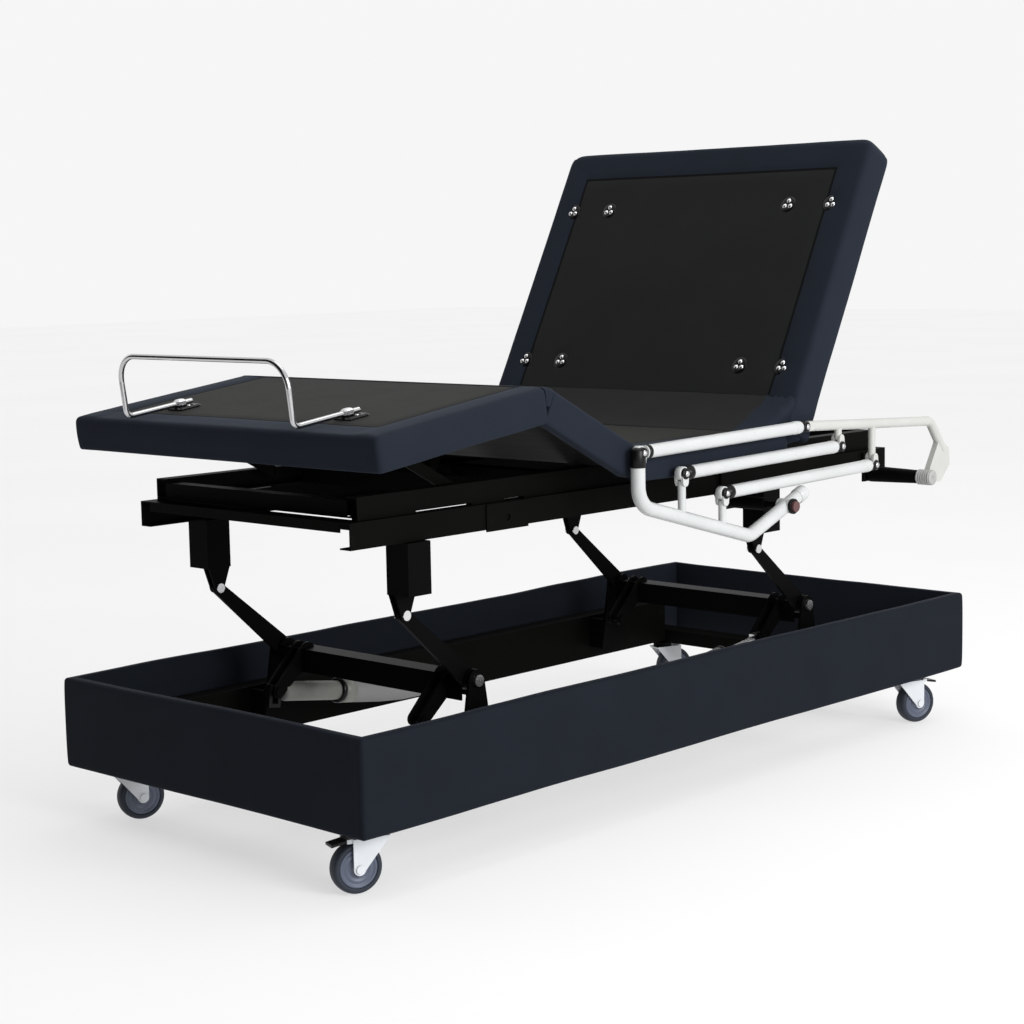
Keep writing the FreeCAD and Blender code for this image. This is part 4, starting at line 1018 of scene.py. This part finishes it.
def rail():
    foot_hub = Vector(JOINTS["rail_fold"]["pos_m"])
    head_hub = Vector(JOINTS["rail_head_end"]["pos_m"])
    span = head_hub - foot_hub
    for name in ("top", "middle", "bottom"):
        pivot = Vector(JOINTS["rail_level_" + name]["pos_m"])
        bar = "rail_" + name
        knuckle(name + "_foot", pivot, span, "rail_foot_end", bar, True)
        knuckle(name + "_head", pivot + span, -span, "rail_head_end", bar, False)
    top = Vector(JOINTS["rail_level_top"]["pos_m"])
    socket = [(-0.030, 0.0158), (-0.028, 0.0168), (0.004, 0.0164), (0.009, 0.0140), (0.0115, 0.0080)]
    seat = top - Vector((0, 0.004, 0))
    rail_trim("socket", socket, seat, (0, 0, 1), BLACK_PLASTIC_AND_SHADE, "rail_foot_end")
    sleeve = [(-0.158, 0.0190), (-0.150, 0.0196), (-0.060, 0.0172), (-0.022, 0.0160), (-0.0195, 0.0150)]
    turned_piece("rail_axle_sleeve", sleeve, head_hub, X_AXIS, LIFT_BLACK, "chassis")
    drum = [(-0.0185, 0.0165)]
    for rib in range(6):
        at = -0.017 + rib * 0.0060
        drum += [(at, 0.0184), (at + 0.0040, 0.0184), (at + 0.0046, 0.0172), (at + 0.0054, 0.0172)]
    drum += [(0.0200, 0.0176), (0.0215, 0.0150)]
    rail_trim("drum", drum, head_hub, X_AXIS, DRUM, "rail_head_end")
    rail_ring("knob_ring", 0.0160, 0.0230, 0.0124, 0.0170, foot_hub, BLACK_PLASTIC_AND_SHADE, "rail_foot_end")
    tail_cap(foot_hub)


def tail_cap(hub):
    """The plug in the open end of the foot arm's tube."""
    angle = math.radians(21.2)
    along = Vector((0, math.cos(angle), math.sin(angle)))
    tube_r = 0.015
    reach = (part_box("rail_arm_foot")[1].y - hub.y - tube_r * math.sin(angle)) / math.cos(angle)
    tip = hub + along * reach
    cap = [(-0.020, 0.0155), (-0.018, 0.0172), (0.003, 0.0172), (0.007, 0.0160), (0.009, 0.0130)]
    rail_trim("tail_cap", cap, tip, along, RAIL_WHITE, "rail_foot_end")
    plug = [(0.0088, 0.0095), (0.0105, 0.0090), (0.0112, 0.0060)]
    rail_trim("tail_plug", plug, tip, along, BLACK_PLASTIC_AND_SHADE, "rail_foot_end")


def soft_box(name, low, high, ease, transform, material, body):
    """A box with eased edges, drawn in a section's flat frame."""
    (x0, y0, z0), (x1, y1, z1) = low, high
    e = ease
    rings = [(z0, e), (z0 + e, 0.0), (z1 - e, 0.0), (z1, e)]
    verts = []
    for z, inset in rings:
        c = max(e, inset)
        xa, xb, ya, yb = x0 + inset, x1 - inset, y0 + inset, y1 - inset
        verts += [
            (xa + c, ya, z), (xb - c, ya, z), (xb, ya + c, z), (xb, yb - c, z),
            (xb - c, yb, z), (xa + c, yb, z), (xa, yb - c, z), (xa, ya + c, z),
        ]
    faces = [tuple(range(7, -1, -1)), tuple(range(24, 32))]
    for level in range(3):
        for k in range(8):
            a, b = level * 8 + k, level * 8 + (k + 1) % 8
            faces.append((a, b, b + 8, a + 8))
    piece = mesh_piece(name, [transform @ Vector(v) for v in verts], faces, [material], smooth=False)
    return trim(piece, body)


def retainer_clips():
    """Two clips: a dark foot screwed to the panel and a bright saddle over the bar."""
    flat = [FOOT_UP.inverted() @ v.co for v in frame["nodes"]["retainer_clips"].data.vertices]
    for side, tag in ((1, "left"), (-1, "right")):
        points = [p for p in flat if (p.x - CENTRE_X) * side > 0]
        x0, x1 = min(p.x for p in points), max(p.x for p in points)
        y0, y1 = min(p.y for p in points), max(p.y for p in points)
        z0, z1 = min(p.z for p in points), max(p.z for p in points)
        middle = (x0 + x1) / 2

        def part(kind, half, ys, zs, ease, material):
            low, high = (middle - half, ys[0], zs[0]), (middle + half, ys[1], zs[1])
            name = "retainer_%s_%s" % (kind, tag)
            return soft_box(name, low, high, ease, FOOT_UP, material, "foot")

        foot = part("foot", (x1 - x0) / 2, (y0, y1), (z0 - 0.001, z0 + 0.0055), 0.003, BLACK_PLASTIC_AND_SHADE)
        part("block", 0.011, (y0 + 0.004, y1 - 0.022), (z0 + 0.005, z1 - 0.004), 0.004, BLACK_PLASTIC_AND_SHADE)
        part("saddle", 0.0095, (y0 + 0.006, y0 + 0.030), (z0 + 0.004, z1 + 0.0045), 0.0035, ZINC)
        if tag == "left":
            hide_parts("retainer_clips")
        for k, dx in enumerate((-0.017, 0.017)):
            at = FOOT_UP @ Vector((middle + dx, (y0 + y1) / 2, z0 + 0.0055))
            up = FOOT_UP.to_3x3() @ Vector((0, 0, 1))
            head = [(0.0, 0.0040), (0.0012, 0.0040), (0.0022, 0.0026)]
            turned_piece("retainer_screw_%s_%d" % (tag, k), head, at, up, ZINC, "foot", 20)


def screw_recess_shades():
    """A black disc under each group of three screws: painted shade of the recess they sit in."""
    up = BACK_UP.to_3x3() @ Vector((0, 0, 1))
    for k, (x, y) in enumerate(screw_marks()):
        at = BACK_UP @ Vector((x + CENTRE_X, y, TOP_Z - 0.0035))
        # the black disc is painted shade, standing for the dark recess round the screws
        turned_piece(
            "screw_recess_%d" % k, [(-0.002, 0.0210), (0.0018, 0.0210), (0.0030, 0.0200)],
            at, up, BLACK_PLASTIC_AND_SHADE, "back", 32,
        )


def actuator_rings():
    """The foot lift actuator's sleeve and housing, and each lift actuator's step ring."""
    anchor = Vector(JOINTS["foot_lift_motor_pitch"]["pos_m"])
    along = Vector(JOINTS["foot_lift_motor_stroke"]["axis"])
    sleeve = [(0.262, 0.0210), (0.300, 0.0213), (0.470, 0.0213), (0.478, 0.0200)]
    turned_piece("lift_sleeve", sleeve, anchor, along, SLEEVE, "foot_lift_rod")
    shell = [(0.280, 0.0216), (0.280, 0.0277), (0.314, 0.0277), (0.314, 0.0216)]
    trim(lathe("lift_shell", shell, anchor, along, SHELL), "foot_lift_motor")
    for end, at, outer, inner in (("foot", 0.316, 0.0285, 0.0216), ("head", 0.300, 0.0225, 0.0092)):
        anchor = Vector(JOINTS[end + "_lift_motor_pitch"]["pos_m"])
        along = Vector(JOINTS[end + "_lift_motor_stroke"]["axis"])
        profile = [
            (at - 0.006, inner), (at - 0.006, outer - 0.001), (at - 0.005, outer),
            (at + 0.003, outer), (at + 0.005, outer - 0.002), (at + 0.005, inner),
        ]
        ring = lathe("lift_ring_" + end, profile, anchor, along, BLACK_PLASTIC_AND_SHADE)
        trim(ring, end + "_lift_motor")


# ---- stage, light and camera
def card(name, corners, paint, scale, shades, **fixed):
    """A flat sheet of the stage, which isn't part of the object."""
    n = Nodes(paint)
    n.colour(n.ramp(n.noise(scale), [(at, (grey, grey, grey)) for at, grey in zip((0.3, 0.7), shades)]))
    n.fixed(Specular_IOR_Level=0.0, **fixed)
    sheet = mesh_piece(name, corners, [(0, 1, 2, 3)], [n.material])
    return sheet


def stage():
    """A pale floor, and a black card that keeps light off the foot end's side of the cloth."""
    reach = 30
    ground = [(-reach, -reach, 0), (reach, -reach, 0), (reach, reach, 0), (-reach, reach, 0)]
    glow = {"Emission_Color": (1, 1, 1, 1), "Emission_Strength": 0.575}
    card("floor", ground, "floor_paper", 0.6, (0.34, 0.36), Roughness=0.9, **glow)
    upright = [(-7.0, -4.2, 0.03), (2.4, -4.2, 0.03), (2.4, -3.8, 5.5), (-7.0, -3.8, 5.5)]
    flag = card("black_flag", upright, "flag_black", 2.0, (0.01, 0.012), Roughness=1.0)
    # the card stands in front of the object from some sides, so no camera sees it
    flag.visible_camera = False
    world = bpy.data.worlds.new("studio")
    world.use_nodes = True
    world.node_tree.nodes["Background"].inputs[0].default_value = (1.0, 1.0, 1.0, 1.0)
    world.node_tree.nodes["Background"].inputs[1].default_value = 0.922
    bpy.context.scene.world = world


def area_light(name, place, target, size, power, colour=(1, 1, 1)):
    data = bpy.data.lights.new(name, "AREA")
    data.shape = "RECTANGLE"
    data.size, data.size_y = size
    data.energy = power
    data.color = colour
    lamp = bpy.data.objects.new(name, data)
    lamp.location = place
    lamp.rotation_mode = "QUATERNION"
    lamp.rotation_quaternion = (Vector(target) - Vector(place)).to_track_quat("-Z", "Y")
    bpy.context.scene.collection.objects.link(lamp)


def lights():
    centre = (CENTRE_X, 0.0, 0.6)
    area_light("key", (5.5, -0.6, 2.2), centre, (3.0, 2.5), 260.0, (0.97, 0.985, 1.0))
    area_light("top", (0.4, 0.6, 5.2), centre, (3.0, 3.0), 60.0)


CAMERA_TURN, CAMERA_TILT, CAMERA_ROLL = 43.379, 7.006, -1.102
CAMERA_PLACE = Vector((3.2182 + CENTRE_X, -3.5319, 1.1793))
CAMERA_LENS = 74.22


def camera():
    azimuth, elevation, roll = (math.radians(a) for a in (CAMERA_TURN, CAMERA_TILT, CAMERA_ROLL))
    back = Vector((
        math.sin(azimuth) * math.cos(elevation), -math.cos(azimuth) * math.cos(elevation), math.sin(elevation)
    ))
    right = Vector((0, 0, 1)).cross(back).normalized()
    up = back.cross(right)
    turned_right = right * math.cos(roll) + up * math.sin(roll)
    turned_up = up * math.cos(roll) - right * math.sin(roll)
    data = bpy.data.cameras.new("camera")
    data.lens = CAMERA_LENS
    data.sensor_width = 36.0
    data.clip_end = 100.0
    view = bpy.data.objects.new("camera", data)
    turn = Matrix((turned_right, turned_up, back)).transposed().to_4x4()
    view.matrix_world = Matrix.Translation(CAMERA_PLACE) @ turn
    bpy.context.scene.collection.objects.link(view)
    bpy.context.scene.camera = view
    bpy.context.scene.view_settings.view_transform = "Standard"


camera()
stage()
lights()
paint_nodes()
base_box()
platform()
hinge_cloth()
castors()
rail()
retainer_clips()
screw_recess_shades()
actuator_rings()
